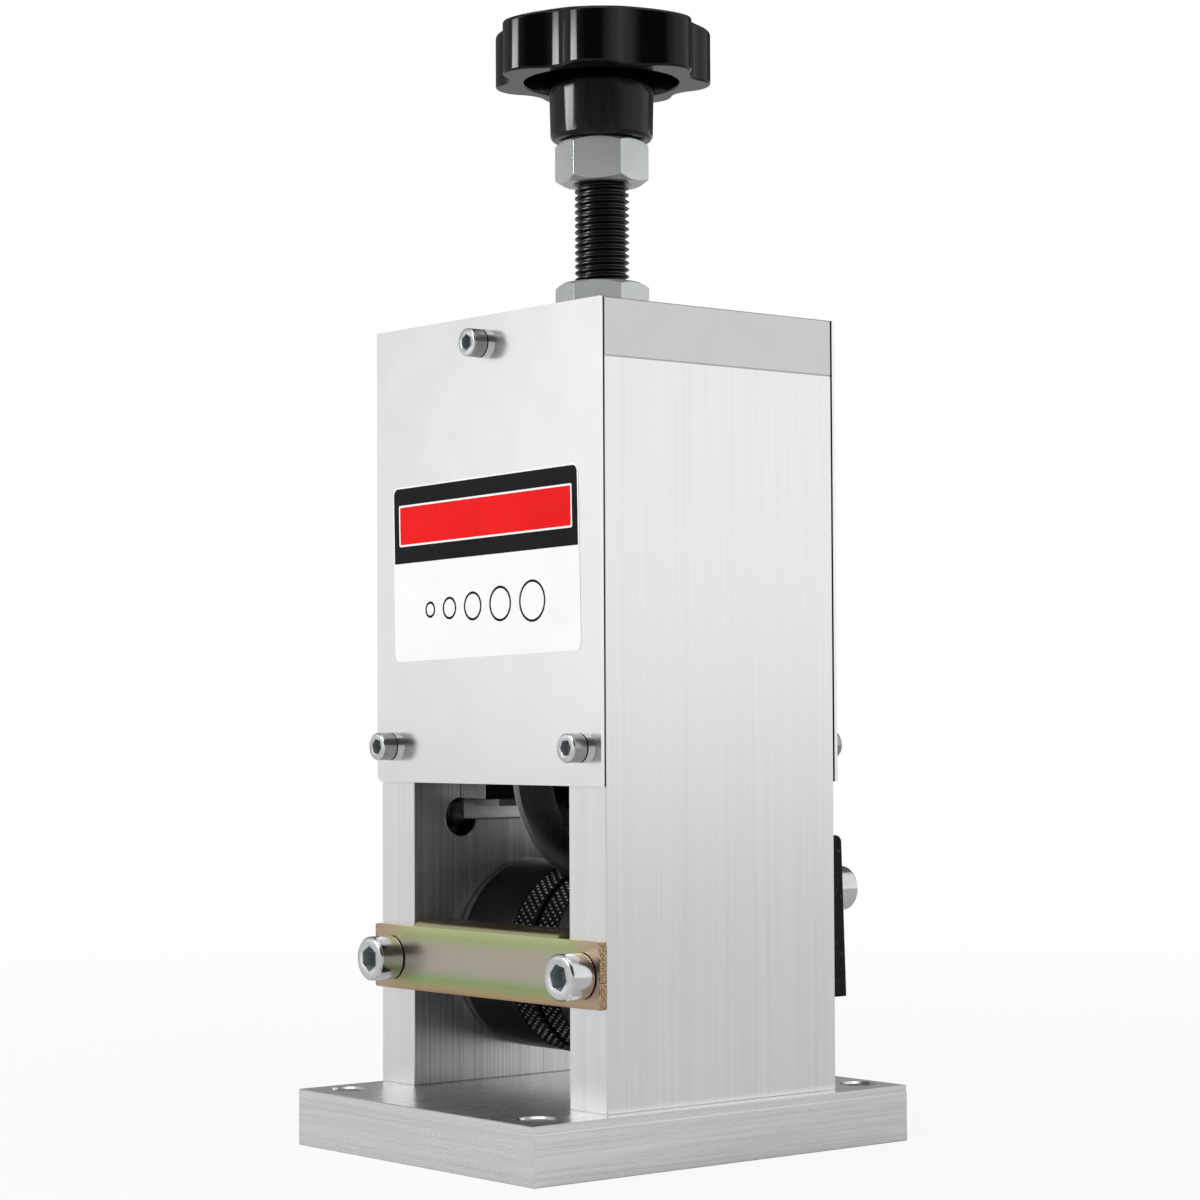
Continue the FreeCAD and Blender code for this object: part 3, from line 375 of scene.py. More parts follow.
def brushedMetal(name, look):
    # metal with straight scratches; the end faces of a plate may run another way
    material, nodes, links, shader = startMaterial(name)
    place, along = addPlace(nodes, links)
    vector = addMapping(nodes, links, place, Scale=look["squash"])
    if "endSquash" in look:
        facing = addSplit(nodes, links, nodes.new("ShaderNodeNewGeometry").outputs["Normal"])
        isEnd = addMath(nodes, links, "GREATER_THAN", addMath(nodes, links, "ABSOLUTE", facing["Y"]),
                        look["endFrom"])
        choose = nodes.new("ShaderNodeMix")
        choose.data_type = "VECTOR"
        links.new(isEnd, choose.inputs["Factor"])
        links.new(vector, choose.inputs[4])
        links.new(addMapping(nodes, links, place, Scale=look["endSquash"]), choose.inputs[5])
        vector = choose.outputs[1]
    streaks = addGroup(nodes, links, machinedGrain, vector, Across=look["across"])["Streaks"]
    colour = addRamp(nodes, links, streaks,
                     zip(rampPlaces["streaks"], (look["dark"], look["colour"], look["light"])))
    if "pocket" in look:
        # the inner faces were left with coarser scratches
        across = addMath(nodes, links, "ABSOLUTE", along["X"])
        inner = addMath(nodes, links, "LESS_THAN", across, look["innerTo"])
        coarse = addRamp(nodes, links, streaks,
                         zip(rampPlaces["coarse"], (look["innerDark"], look["innerLight"])))
        colour = addBlend(nodes, links, inner, colour, coarse)
        # painted shade in the round reliefs of the pocket
        colour = addPaintedPocketShade(nodes, links, colour, look["pocket"])
    closeShader(nodes, links, shader, look, colour, streaks, streaks)
    return material


def addPaintedPocketShade(nodes, links, colour, look):
    # painted shade: the round reliefs of the pocket are painted near black and blotched, where shade falls in
    # them
    vector, (x, y, z) = addPlace(nodes, links)
    across = addMath(nodes, links, "ABSOLUTE", x)
    deep = addMath(nodes, links, "GREATER_THAN", across, look["from"])
    outer = addMath(nodes, links, "LESS_THAN", across, look["to"])
    middle = addMath(nodes, links, "COMPARE", addMath(nodes, links, "ABSOLUTE", y), look["reach"])
    middle.node.inputs[2].default_value = look["spread"]
    above = addMath(nodes, links, "GREATER_THAN", z, look["bottom"])
    inside = addMath(nodes, links, "MULTIPLY", addMath(nodes, links, "MULTIPLY", deep, outer),
                     addMath(nodes, links, "MULTIPLY", middle, above))
    blotch = addNoise(nodes, links, vector, Scale=look["blotches"], Detail=look["detail"])
    shade = addRamp(nodes, links, blotch, zip(rampPlaces["blotch"], (look["dark"], look["light"])))
    return addBlend(nodes, links, inside, colour, shade)


def speckledFinish(name, look):
    # plain finish with a fine skin and slow smudges
    material, nodes, links, shader = startMaterial(name)
    place, along = addPlace(nodes, links)
    skin = addGroup(nodes, links, fineSpeck, place, Size=look["size"])
    colour = addRamp(nodes, links, skin["Smudge"], zip(rampPlaces["smudge"], (look["dark"], look["light"])))
    if "fleck" in look:
        fleck = addRamp(nodes, links, skin["Speck"], zip(rampPlaces["fleck"], (black, white)))
        colour = addBlend(nodes, links, fleck, colour, look["fleck"])
    if "gapShadeDepth" in look:
        # painted shade: the strip of the sheet next to the plate behind it is painted near black, for the
        # shaded gap between them
        depth = addMath(nodes, links, "ABSOLUTE", along["Y"])
        behind = addMath(nodes, links, "LESS_THAN", depth, look["gapShadeDepth"])
        colour = addBlend(nodes, links, behind, colour, gapShadeColour)
    closeShader(nodes, links, shader, look, colour, skin["Smudge"], skin["Speck"])
    return material


def turnedMetal(name, look):
    # fine lathe marks round an axis along X
    material, nodes, links, shader = startMaterial(name)
    place, along = addPlace(nodes, links)
    flat = addMapping(nodes, links, place, Location=(0.0, 0.0, -look["axisHeight"]), Scale=(0.0, 1.0, 1.0))
    radius = addLength(nodes, links, flat)
    rings = nodes.new("ShaderNodeCombineXYZ")
    links.new(along["X"], rings.inputs["X"])
    links.new(radius, rings.inputs["Y"])
    streaks = addGroup(nodes, links, machinedGrain, rings.outputs["Vector"],
                       Across=look["across"])["Streaks"]
    smudge = addGroup(nodes, links, fineSpeck, place, Size=look["size"])["Smudge"]
    colour = addRamp(nodes, links, smudge, zip(rampPlaces["smudge"], (look["dark"], look["light"])))
    if "bright" in look:
        # painted highlight on the knurl tips, which are worn bright as well, and painted reflection on the
        # chamfer at each end; both are made metallic too
        length = addMath(nodes, links, "ABSOLUTE", along["X"])
        outer = addMath(nodes, links, "GREATER_THAN", length, look["chamferSheenFrom"])
        inner = addMath(nodes, links, "LESS_THAN", length, look["chamferSheenTo"])
        chamferSheen = addMath(nodes, links, "MULTIPLY", addMath(nodes, links, "MULTIPLY", outer, inner),
                       look["chamferSheenShare"])
        tipWearAndGlint = addMath(nodes, links, "GREATER_THAN", radius, look["tipRadius"])
        wearAndGlint = addMath(nodes, links, "MAXIMUM", chamferSheen, tipWearAndGlint)
        colour = addBlend(nodes, links, wearAndGlint, colour, look["bright"])
        links.new(wearAndGlint, shader.inputs["Metallic"])
    closeShader(nodes, links, shader, look, colour, streaks, streaks)
    return material


def passivatedZinc(name, look):
    # sheet steel whose clear coat shows soft bands of colour along the fold, and brown at the ends
    material, nodes, links, shader = startMaterial(name)
    place, along = addPlace(nodes, links)
    drift = addMapping(nodes, links, place, Scale=look["drift"])
    waver = addNoise(nodes, links, drift, Scale=1.0, Detail=look["driftDetail"])
    shift = addMath(nodes, links, "MULTIPLY", addMath(nodes, links, "SUBTRACT", waver, sum(noiseSpan) / 2),
                    look["waver"])
    height = addSpan(nodes, links, along["Z"], look["low"], look["high"])
    bands = addRamp(nodes, links, addMath(nodes, links, "ADD", height, shift), look["bands"])
    length = addMath(nodes, links, "ABSOLUTE", along["X"])
    wavered = addMath(nodes, links, "ADD", length, addMath(nodes, links, "MULTIPLY", shift, look["endWaver"]))
    ends = addSpan(nodes, links, wavered, look["endsFrom"], look["endsTo"])
    colour = addBlend(nodes, links, ends, bands, look["endColour"])
    skin = addGroup(nodes, links, fineSpeck, place, Size=look["size"])
    isTorn = addMath(nodes, links, "GREATER_THAN", length, look["tornFrom"])
    colour = addBlend(nodes, links, isTorn, colour, addRamp(nodes, links, skin["Speck"], look["tornEdge"]))
    closeShader(nodes, links, shader, look, colour, skin["Smudge"], skin["Speck"])
    return material


# finishes
plateLook = {"squash": (1.0, 1.0, 0.006), "across": 1500.0, "dark": (0.86, 0.86, 0.87),
             "colour": (0.93, 0.93, 0.94), "light": (0.97, 0.97, 0.98), "roughness": (0.31, 0.37),
             "metallic": 1.0, "anisotropic": 0.65, "bump": 0.08, "depth": 0.00004,
             "innerTo": 0.0452, "innerDark": (0.66, 0.66, 0.67), "innerLight": (0.97, 0.97, 0.98),
             # pocket holds the painted shade of the round reliefs: where they lie, how blotched, and how dark
             "pocket": {"from": 0.0455, "to": 0.0535, "reach": 0.0315, "spread": 0.0072, "bottom": 0.1095,
                        "blotches": 260.0, "detail": 4.0, "dark": (0.03, 0.03, 0.03),
                        "light": (0.2, 0.2, 0.2)}}
baseLook = {"squash": (1.0, 0.008, 1.0), "endSquash": (0.008, 1.0, 1.0), "endFrom": 0.7, "across": 1300.0,
            "dark": (0.76, 0.76, 0.77), "colour": (0.88, 0.88, 0.89), "light": (0.95, 0.95, 0.96),
            "metallic": 1.0, "roughness": (0.22, 0.32), "bump": 0.14, "depth": 0.00004}
carriageLook = {"squash": (1.0, 0.02, 1.0), "across": 900.0, "dark": (0.22, 0.22, 0.225),
                "colour": (0.3, 0.3, 0.305), "light": (0.38, 0.38, 0.385), "roughness": (0.25, 0.36),
                "metallic": 1.0, "bump": 0.12, "depth": 0.00004}
coverLook = {"size": 1400.0, "dark": (0.91, 0.91, 0.92), "light": (0.95, 0.95, 0.96), "metallic": 1.0,
             "roughness": (0.2, 0.23), "bump": 0.05, "gapShadeDepth": 0.0536}
topLook = {"size": 1500.0, "dark": (0.63, 0.63, 0.635), "light": (0.67, 0.67, 0.675), "metallic": 1.0,
           "roughness": (0.28, 0.34), "bump": 0.06}
zincLook = {"size": 1500.0, "dark": (0.68, 0.7, 0.71), "light": (0.78, 0.79, 0.8), "metallic": 1.0,
            "roughness": (0.14, 0.22), "bump": 0.04}
dullZincLook = {"size": 1500.0, "dark": (0.34, 0.34, 0.33), "light": (0.5, 0.5, 0.48), "metallic": 1.0,
                "roughness": (0.22, 0.34), "bump": 0.1}
nutLook = {"size": 1300.0, "dark": (0.56, 0.58, 0.59), "light": (0.66, 0.68, 0.69), "metallic": 0.68,
           "roughness": (0.2, 0.28), "bump": 0.05}
blackSteelLook = {"size": 1200.0, "dark": (0.003, 0.003, 0.003), "light": (0.006, 0.006, 0.0065),
                  "specular": 0.4, "roughness": (0.2, 0.28), "bump": 0.05}
glossBlackLook = {"size": 500.0, "dark": (0.0008, 0.0008, 0.0009), "light": (0.0014, 0.0014, 0.0015),
                  "specular": 0.28, "roughness": (0.1, 0.13), "bump": 0.015}
mattBlackLook = {"size": 700.0, "dark": (0.002, 0.002, 0.002), "light": (0.004, 0.004, 0.004),
                 "specular": 0.15, "roughness": (0.4, 0.55), "bump": 0.5, "depth": 0.0002,
                 "fleck": (0.05, 0.05, 0.05)}
steelLook = {"size": 1400.0, "dark": (0.42, 0.42, 0.43), "light": (0.5, 0.5, 0.51), "metallic": 1.0,
             "roughness": (0.2, 0.3), "bump": 0.04}
bronzeLook = {"size": 1200.0, "dark": (0.42, 0.24, 0.1), "light": (0.52, 0.32, 0.15), "metallic": 1.0,
              "roughness": (0.28, 0.38), "bump": 0.04}
rubberLook = {"size": 900.0, "dark": (0.012, 0.012, 0.012), "light": (0.02, 0.02, 0.02),
              "specular": 0.3, "roughness": (0.6, 0.7), "bump": 0.2, "depth": 0.0001}

rollerAxis = sum(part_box("feed_roller"), Vector()) / 2
bladeAxis = sum(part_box("blade_disc"), Vector()) / 2
turnedBlackLook = {"axisHeight": rollerAxis.z, "across": 2200.0, "size": 300.0,
                   "dark": (0.004, 0.004, 0.004), "light": (0.007, 0.007, 0.0075), "specular": 0.3,
                   "roughness": (0.28, 0.34), "bump": 0.02, "depth": 0.00004,
                   # bright is the painted reflection on the end chamfers and the painted highlight on the
                   # knurl tips, which are worn bright as well
                   "bright": (0.35, 0.35, 0.35), "tipRadius": 1.0, "chamferSheenFrom": 0.0406, "chamferSheenTo": 0.0442,
                   "chamferSheenShare": 0.6}
# the knurl band's bright tips are a painted highlight as well as wear
knurlBandLook = {**turnedBlackLook, "specular": 0.08, "roughness": (0.4, 0.5), "bright": (0.22, 0.22, 0.22),
                 "tipRadius": 0.03487}
turnedFlangeLook = {"axisHeight": bladeAxis.z, "across": 1400.0, "size": 300.0,
                    "dark": (0.003, 0.003, 0.003), "light": (0.006, 0.006, 0.006), "specular": 0.35,
                    "roughness": (0.16, 0.26), "bump": 0.25, "depth": 0.00004}
turnedBladeLook = {"axisHeight": bladeAxis.z, "across": 1600.0, "size": 200.0,
                   "dark": (0.4, 0.405, 0.4), "light": (0.54, 0.545, 0.54), "metallic": 1.0,
                   "roughness": (0.26, 0.38), "bump": 0.1, "depth": 0.00004}
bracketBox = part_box("outlet_bracket")
yellowZincLook = {"low": bracketBox[0].z, "high": bracketBox[1].z, "waver": 0.12, "drift": (14.0, 14.0, 90.0),
                  "driftDetail": 2.0, "size": 1800.0,
                  "bands": [(0.0, (0.36, 0.25, 0.17)), (0.05, (0.5, 0.36, 0.22)), (0.12, (0.42, 0.42, 0.2)),
                            (0.19, (0.34, 0.44, 0.2)), (0.33, (0.5, 0.47, 0.38)), (0.52, (0.55, 0.47, 0.42)),
                            (0.7, (0.5, 0.48, 0.35)), (0.8, (0.45, 0.52, 0.26)), (0.9, (0.56, 0.62, 0.3)),
                            (0.96, (0.7, 0.66, 0.4)), (1.0, (0.4, 0.28, 0.18))],
                  "endsFrom": 0.044, "endsTo": 0.062, "endColour": (0.56, 0.4, 0.29), "tornFrom": 0.0643,
                  "endWaver": 0.1, "metallic": 1.0, "roughness": (0.27, 0.3), "bump": 0.02,
                  "tornEdge": [(0.35, (0.16, 0.09, 0.04)), (0.5, (0.42, 0.28, 0.14)),
                               (0.65, (0.85, 0.7, 0.5))]}
labelWhiteLook = {"size": 900.0, "dark": (0.91, 0.91, 0.91), "light": (0.94, 0.94, 0.94),
                  "specular": 0.3, "roughness": (0.4, 0.5), "bump": 0.03}
labelBlackLook = {**labelWhiteLook, "dark": (0.006, 0.006, 0.007), "light": (0.009, 0.009, 0.01),
                  "specular": 0.08}
labelRedLook = {**labelWhiteLook, "dark": (0.8, 0.006, 0.008), "light": (0.87, 0.009, 0.01), "specular": 0.08}
# painted shade: the colour given to the inside of the hex sockets
paintedSocketShadeLook = {"size": 1500.0, "dark": (0.13, 0.16, 0.17), "light": (0.2, 0.24, 0.25),
              "roughness": (0.2, 0.3), "bump": 0.05}
# painted shadow: the colour given to the foot of the screw heads
paintedFootShadeLook = {"size": 900.0, "dark": (0.005, 0.004, 0.004), "light": (0.012, 0.01, 0.009),
                 "specular": 0.1, "roughness": (0.6, 0.7), "bump": 0.1}
keeperLook = {"size": 1400.0, "dark": (0.5, 0.5, 0.5), "light": (0.6, 0.6, 0.6), "metallic": 1.0,
              "roughness": (0.5, 0.6), "bump": 0.05}

finishes = {
    "plate": brushedMetal("brushedPlate", plateLook),
    "base": brushedMetal("brushedBase", baseLook),
    "carriage": brushedMetal("milledCarriage", carriageLook),
    "cover": speckledFinish("satinCover", coverLook),
    "top": speckledFinish("satinTop", topLook),
    "zinc": speckledFinish("brightZinc", zincLook),
    "dullZinc": speckledFinish("dullZinc", dullZincLook),
    "nut": speckledFinish("greyZinc", nutLook),
    "blackSteel": speckledFinish("blackedSteel", blackSteelLook),
    "glossBlack": speckledFinish("glossBlackPlastic", glossBlackLook),
    "mattBlack": speckledFinish("mattBlackPlastic", mattBlackLook),
    "steel": speckledFinish("groundSteel", steelLook),
    "bronze": speckledFinish("turnedBronze", bronzeLook),
    "rubber": speckledFinish("sealRubber", rubberLook),
    "turnedBlack": turnedMetal("turnedBlack", turnedBlackLook),
    "knurlBand": turnedMetal("knurlBand", knurlBandLook),
    "turnedFlange": turnedMetal("turnedFlange", turnedFlangeLook),
    "turnedBlade": turnedMetal("turnedBlade", turnedBladeLook),
    "yellowZinc": passivatedZinc("yellowZincCoat", yellowZincLook),
    "labelWhite": speckledFinish("labelWhite", labelWhiteLook),
    "labelBlack": speckledFinish("labelBlack", labelBlackLook),
    "labelRed": speckledFinish("labelRed", labelRedLook),
    "socket": speckledFinish("paintedSocketShade", paintedSocketShadeLook),
    "paintedFootShade": speckledFinish("paintedFootShade", paintedFootShadeLook),
    "keeper": speckledFinish("keeperSteel", keeperLook),
}

finishOfNode = {
    "plate": ["left_side_plate", "right_side_plate"],
    "base": ["base_plate"],
    "carriage": ["crosshead", "left_bearing_block", "right_bearing_block"],
    "cover": ["front_cover", "rear_cover"],
    "labelWhite": ["blank_label"],
    "top": ["top_plate"],
    "zinc": ["front_cover_screws", "rear_cover_screws", "cover_washers", "base_screws", "top_plate_screws",
             "outlet_bracket_screws", "inlet_plate_screws", "crank_washer", "crank_screw", "block_screws",
             "keeper_screws", "grip_spindle"],
    "yellowZinc": ["outlet_bracket"],
    "nut": ["knob_nut", "lock_nut"],
    "blackSteel": ["pressure_screw", "crank_arm", "flange_screws", "screw_collar"],
    "keeper": ["left_keeper_plate", "right_keeper_plate"],
    "turnedBlack": ["feed_roller"],
    "turnedFlange": ["left_blade_flange", "right_blade_flange"],
    "steel": ["drive_shaft", "roller_key", "blade_axle", "roller_spacers", "axle_spacers", "collar_pin",
              "left_bearing_clip", "right_bearing_clip",
              "left_bearing_inner_ring", "right_bearing_inner_ring", "left_bearing_outer_ring",
              "right_bearing_outer_ring", "left_bearing_balls", "right_bearing_balls"],
    "turnedBlade": ["blade_disc"],
    "bronze": ["left_axle_bush", "right_axle_bush", "thrust_washer"],
    "glossBlack": ["star_knob", "crank_grip"],
    "mattBlack": ["inlet_plate"],
    "rubber": ["shaft_seal"],
}
for finish, names in finishOfNode.items():
    for name in names:
        paint(cad[name], finishes[finish])
print("finishes on", sum(len(names) for names in finishOfNode.values()), "nodes")


# feed roller with its knurled band
rollerLook = {"around": 80, "cells": 3, "bandHalf": 0.013, "slotHalf": 0.0011, "slotFloor": 0.0255,
              "smoothRadius": 0.0348, "chamferLength": 0.0042, "chamferDrop": 0.0008, "bore": 0.01,
              "landMargin": 0.00082, "landHeight": 0.0006, "smoothAngle": 20.0}
touch = 0.0001  # what is nearer than this counts as touching
hair = 0.000002  # and points nearer than this are one
sideSlope = 0.5  # a face whose normal has a smaller share along the axis counts as a side


def fromAxis(point):
    return math.hypot(point.x, point.y)


def buildFeedRoller():
    look = rollerLook
    low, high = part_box("feed_roller")
    middle, half, crest = (low + high) / 2, (high.x - low.x) / 2, (high.z - low.z) / 2
    valley, smooth = crest - look["landHeight"], look["smoothRadius"]
    slot, band = look["slotHalf"], look["bandHalf"]
    cell = (band - slot) / look["cells"]
    side = [(slot, look["slotFloor"])] + [(slot + cell * n, valley) for n in range(look["cells"] + 1)]
    side += [(band, smooth), (half - look["chamferLength"], smooth), (half, smooth - look["chamferDrop"]),
             (half, look["bore"])]
    roller = turnRings("knurledFeedRoller", look["around"], [(-x, r) for x, r in reversed(side)] + side)
    bpy.ops.mesh.select_all(action="DESELECT")
    bpy.ops.mesh.select_non_manifold(extend=False)
    bpy.ops.mesh.bridge_edge_loops()
    faceOutwards()

    def onBand(point, normal):
        isSide = abs(normal.z) < sideSlope and fromAxis(point) > look["slotFloor"]
        return isSide and slot < abs(point.z) < band

    def oldEdge(a, b):
        # the edges of the square cells, without the two ends of the band
        if min(fromAxis(a), fromAxis(b)) < valley - touch or abs(a.z + b.z) / 2 > band:
            return False
        lengthwise = abs(abs(a.z - b.z) - cell) < touch
        between = abs(a.z - b.z) < hair and slot + hair < abs(a.z) < band - hair
        return lengthwise or between

    selectFaces(roller, onBand)
    bpy.ops.mesh.poke()
    selectEdges(roller, oldEdge)
    bpy.ops.mesh.dissolve_edges(use_verts=False)
    selectFaces(roller, onBand)
    bpy.ops.mesh.inset(thickness=look["landMargin"], depth=look["landHeight"], use_individual=True)
    closeMesh()
    paint(roller, finishes["turnedBlack"])
    assignFinish(roller, finishes["knurlBand"],
                 lambda point, normal: abs(point.z) < band and fromAxis(point) > look["slotFloor"])
    roller.rotation_euler = (0, math.radians(90), 0)
    roller.location = middle
    bakePlace(roller)
    smoothByAngle(roller, look["smoothAngle"])
    handOver(roller, "drive", "black_oxide", "feed_roller")


# pressure screw with its running thread
screwLook = {"neck": 0.007, "root": 0.0086, "crest": 0.00995, "pitch": 0.0025, "rootWidth": 0.0022,
             "crestWidth": 0.0004, "steps": 48, "core": 64, "ease": 0.0005}


def buildPressureScrew():
    look = screwLook
    low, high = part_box("pressure_screw")
    neck, root, crest, pitch, ease = (look[label] for label in ("neck", "root", "crest", "pitch", "ease"))
    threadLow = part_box("thrust_washer")[1].z + touch
    core = turnRings("pressureScrewThread", look["core"],
                     [(low.z, neck - ease), (low.z + ease, neck), (threadLow, neck), (threadLow, root),
                      (high.z - ease, root), (high.z, root - ease)])
    fillOpenEnds()
    closeMesh()
    clearSelection()
    inner = root - touch
    bpy.ops.mesh.primitive_plane_add(size=1.0, rotation=(math.radians(90), 0, 0),
                                     location=((inner + crest) / 2, 0, threadLow + pitch / 2))
    ridge = bpy.context.object
    ridge.scale = (crest - inner, look["rootWidth"], 1.0)
    bakePlace(ridge)
    openMesh(ridge, "EDGE")
    selectEdges(ridge, lambda a, b: min(a.x, b.x) > root)
    bpy.ops.transform.resize(value=(1.0, 1.0, look["crestWidth"] / look["rootWidth"]),
                             center_override=(crest, 0, threadLow + pitch / 2))
    bpy.ops.mesh.select_all(action="SELECT")
    bpy.ops.mesh.delete(type="ONLY_FACE")
    closeMesh()
    turns = int((high.z - threadLow) / pitch) - 1
    applyModifier(ridge, "SCREW", axis="Z", screw_offset=pitch, iterations=turns, steps=look["steps"],
                  render_steps=look["steps"])
    openMesh(ridge, "EDGE")
    bpy.ops.mesh.select_all(action="SELECT")
    bpy.ops.mesh.remove_doubles(threshold=hair)
    fillOpenEnds()
    closeMesh()
    screw = joinPieces([core, ridge], "pressureScrewThread")
    smoothByAngle(screw)
    paint(screw, finishes["blackSteel"])
    handOver(screw, "screw", "black_oxide", "pressure_screw")


# socket screws
m6Look = {"shank": 0.003, "head": 0.005, "height": 0.006, "socket": 0.005, "depth": 0.003, "crown": 0.0004,
          "sides": 48, "ease": 0.00015, "foot": 0.0004, "side": "dullZinc"}
m8Look = {"shank": 0.004, "head": 0.0065, "height": 0.008, "socket": 0.006, "depth": 0.004, "crown": 0.0005,
          "sides": 48, "ease": 0.0002, "foot": 0.0004, "side": "zinc"}
m10Look = {"shank": 0.005, "head": 0.008, "height": 0.01, "socket": 0.008, "depth": 0.005, "crown": 0.0007,
           "sides": 60, "ease": 0.0003, "foot": 0.0005, "side": "zinc"}
knurlLook = {"plainFoot": 0.0008, "plainCrown": 0.0014, "groove": 0.00009, "depth": -0.00012}
# what all sizes share: the end of the shank, the angle from which edges are rounded, the degrees by which
# each screw of a set is turned on from the last, and the drilled cone as shares of the socket's width
capScrewLook = {"tip": 0.0004, "easeAngle": 40.0, "twist": 17.0, "coneInset": 0.42, "coneDepth": 0.2}
# how far out from the axis a face may or must lie, as shares of the socket's width and the head's radius
faceReach = {"socket": 0.56, "cone": 0.8, "side": 0.9}
footSlope = -0.3  # a face at the foot whose normal has less than this looks down


def buildCapScrew(look, length, knurled):
    # upright, with the seat of the head at height 0
    head, height, shank, crown, foot = (look[label] for label in ("head", "height", "shank", "crown", "foot"))
    socket, depth, tip = look["socket"], look["depth"], capScrewLook["tip"]
    knurlFrom, knurlTo = knurlLook["plainFoot"], height - knurlLook["plainCrown"]
    screw = turnRings("capScrew", look["sides"],
                      [(-length, shank - tip), (-length + tip, shank), (0, shank), (0, head - foot),
                       (foot, head), (knurlFrom, head), (knurlTo, head), (height - crown, head),
                       (height, head - crown)])
    fillOpenEnds()
    closeMesh()
    clearSelection()
    bpy.ops.mesh.primitive_cylinder_add(vertices=6, radius=socket / math.sqrt(3), depth=2 * depth,
                                        location=(0, 0, height))
    tool = bpy.context.object
    bakePlace(tool)
    openMesh(tool)
    selectFaces(tool, lambda point, normal: normal.z < -sideSlope)
    bpy.ops.mesh.inset(thickness=socket * capScrewLook["coneInset"], depth=socket * capScrewLook["coneDepth"])
    closeMesh()
    cutWith(screw, tool)
    applyModifier(screw, "BEVEL", width=look["ease"], segments=2, limit_method="ANGLE",
                  angle_limit=math.radians(capScrewLook["easeAngle"]))

    def onSide(point, normal):
        return foot < point.z < height - crown and fromAxis(point) > faceReach["side"] * head

    def onKnurl(point, normal):
        return onSide(point, normal) and knurlFrom < point.z < knurlTo

    def underFoot(point, normal):
        return -touch < point.z < foot and normal.z < footSlope

    def inSocket(point, normal):
        wall = fromAxis(point) < faceReach["socket"] * socket and normal.z < sideSlope
        cone = fromAxis(point) < faceReach["cone"] * head and point.z < height - depth + touch
        return point.z > foot and (wall or cone)

    if knurled:
        openMesh(screw)
        selectFaces(screw, onKnurl)
        bpy.ops.mesh.inset(thickness=knurlLook["groove"], depth=knurlLook["depth"], use_individual=True)
        closeMesh()
    paint(screw, finishes["zinc"])
    # painted shade: the hex socket is painted dark, where shade falls in it
    assignFinish(screw, finishes["socket"], inSocket)
    # painted shadow: the foot of the head is painted near black, where the groove against the part below lies
    # in shadow
    assignFinish(screw, finishes["paintedFootShade"], underFoot)
    assignFinish(screw, finishes[look["side"]], onSide)
    smoothByAngle(screw)
    return screw


def placeScrews(name, node, look, turn, places, knurledCount=0):
    # a screw at each place, turned so that its head points out
    low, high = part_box(node)
    length = (high.y - low.y if turn else high.z - low.z) - look["height"]
    outward = Matrix.Rotation(math.radians(turn), 3, "X")
    screws = []
    for number, place in enumerate(places):
        screw = buildCapScrew(look, length, number < knurledCount)
        twist = Matrix.Rotation(math.radians(capScrewLook["twist"] * number), 3, "Z")
        screw.rotation_euler = (outward @ twist).to_euler()
        screw.location = place
        bakePlace(screw)
        screws.append(screw)
    handOver(joinPieces(screws, name), "frame", "zinc_plate", node)


def seatOfHeads(node, look, turn):
    low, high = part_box(node)
    return low.y + look["height"] if turn > 0 else high.y - look["height"]


def buildCoverScrews():
    head = m6Look["head"]
    for node, name, turn in (("front_cover_screws", "frontCoverScrewSet", 90),
                             ("rear_cover_screws", "rearCoverScrewSet", -90)):
        low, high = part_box(node)
        seat = seatOfHeads(node, m6Look, turn)
        places = [((low.x + high.x) / 2, seat, high.z - head), (low.x + head, seat, low.z + head),
                  (high.x - head, seat, low.z + head)]
        placeScrews(name, node, m6Look, turn, places, knurledCount=1)


def buildBracketScrews():
    head = m10Look["head"]
    for node, name, turn in (("outlet_bracket_screws", "bracketScrewSet", 90),
                             ("inlet_plate_screws", "inletScrewSet", -90)):
        low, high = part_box(node)
        seat, level = seatOfHeads(node, m10Look, turn), (low.z + high.z) / 2
        placeScrews(name, node, m10Look, turn, [(low.x + head, seat, level), (high.x - head, seat, level)])


def buildTopScrews():
    head, height = m8Look["head"], m8Look["height"]
    low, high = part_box("top_plate_screws")
    places = [(x, y, high.z - height) for x in (low.x + head, high.x - head)
              for y in (low.y + head, high.y - head)]
    placeScrews("topPlateScrewSet", "top_plate_screws", m8Look, 0, places)


# pieces whose machined edges are rounded
easeAngle = 25.0  # edges sharper than this are rounded
shadeAngle = 32.0  # and sharper than this they are shaded as edges
flatAngle = 0.5  # faces that turn less than this are one face
easedPieces = {  # node: name, body, slot, finish and width of the rounding
    "lock_nut": ("lockNutEased", "lock_nut", "zinc_plate", "nut", 0.0004),
    "knob_nut": ("knobNutEased", "screw", "zinc_plate", "nut", 0.0004),
    "outlet_bracket": ("outletBracketFolded", "frame", "yellow_zinc", "yellowZinc", 0.0008),
    "star_knob": ("starKnobMoulded", "screw", "gloss_black", "glossBlack", 0.0006),
}


def mergedCopy(node, name):
    piece = bpy.data.objects.new(name, cad[node].data.copy())
    bpy.context.scene.collection.objects.link(piece)
    openMesh(piece)
    bpy.ops.mesh.select_all(action="SELECT")
    bpy.ops.mesh.remove_doubles(threshold=hair)
    bpy.ops.mesh.dissolve_limited(angle_limit=math.radians(flatAngle))
    closeMesh()
    bpy.ops.mesh.customdata_custom_splitnormals_clear()
    return piece


def evenShading(obj):
    # rounded edges are shaded smoothly while the large faces stay flat
    smoothByAngle(obj, shadeAngle)
    applyModifier(obj, "WEIGHTED_NORMAL", keep_sharp=True)


def buildEasedPiece(node):
    # a merged copy of the CAD shape with its sharp edges rounded
    name, body, slot, finish, width = easedPieces[node]
    piece = mergedCopy(node, name)
    applyModifier(piece, "BEVEL", width=width, segments=3, limit_method="ANGLE",
                  angle_limit=math.radians(easeAngle))
    evenShading(piece)
    paint(piece, finishes[finish])
    handOver(piece, body, slot, node)


pocketLook = {"reach": 0.0315, "height": 0.117, "radius": 0.007, "rim": 0.0004}


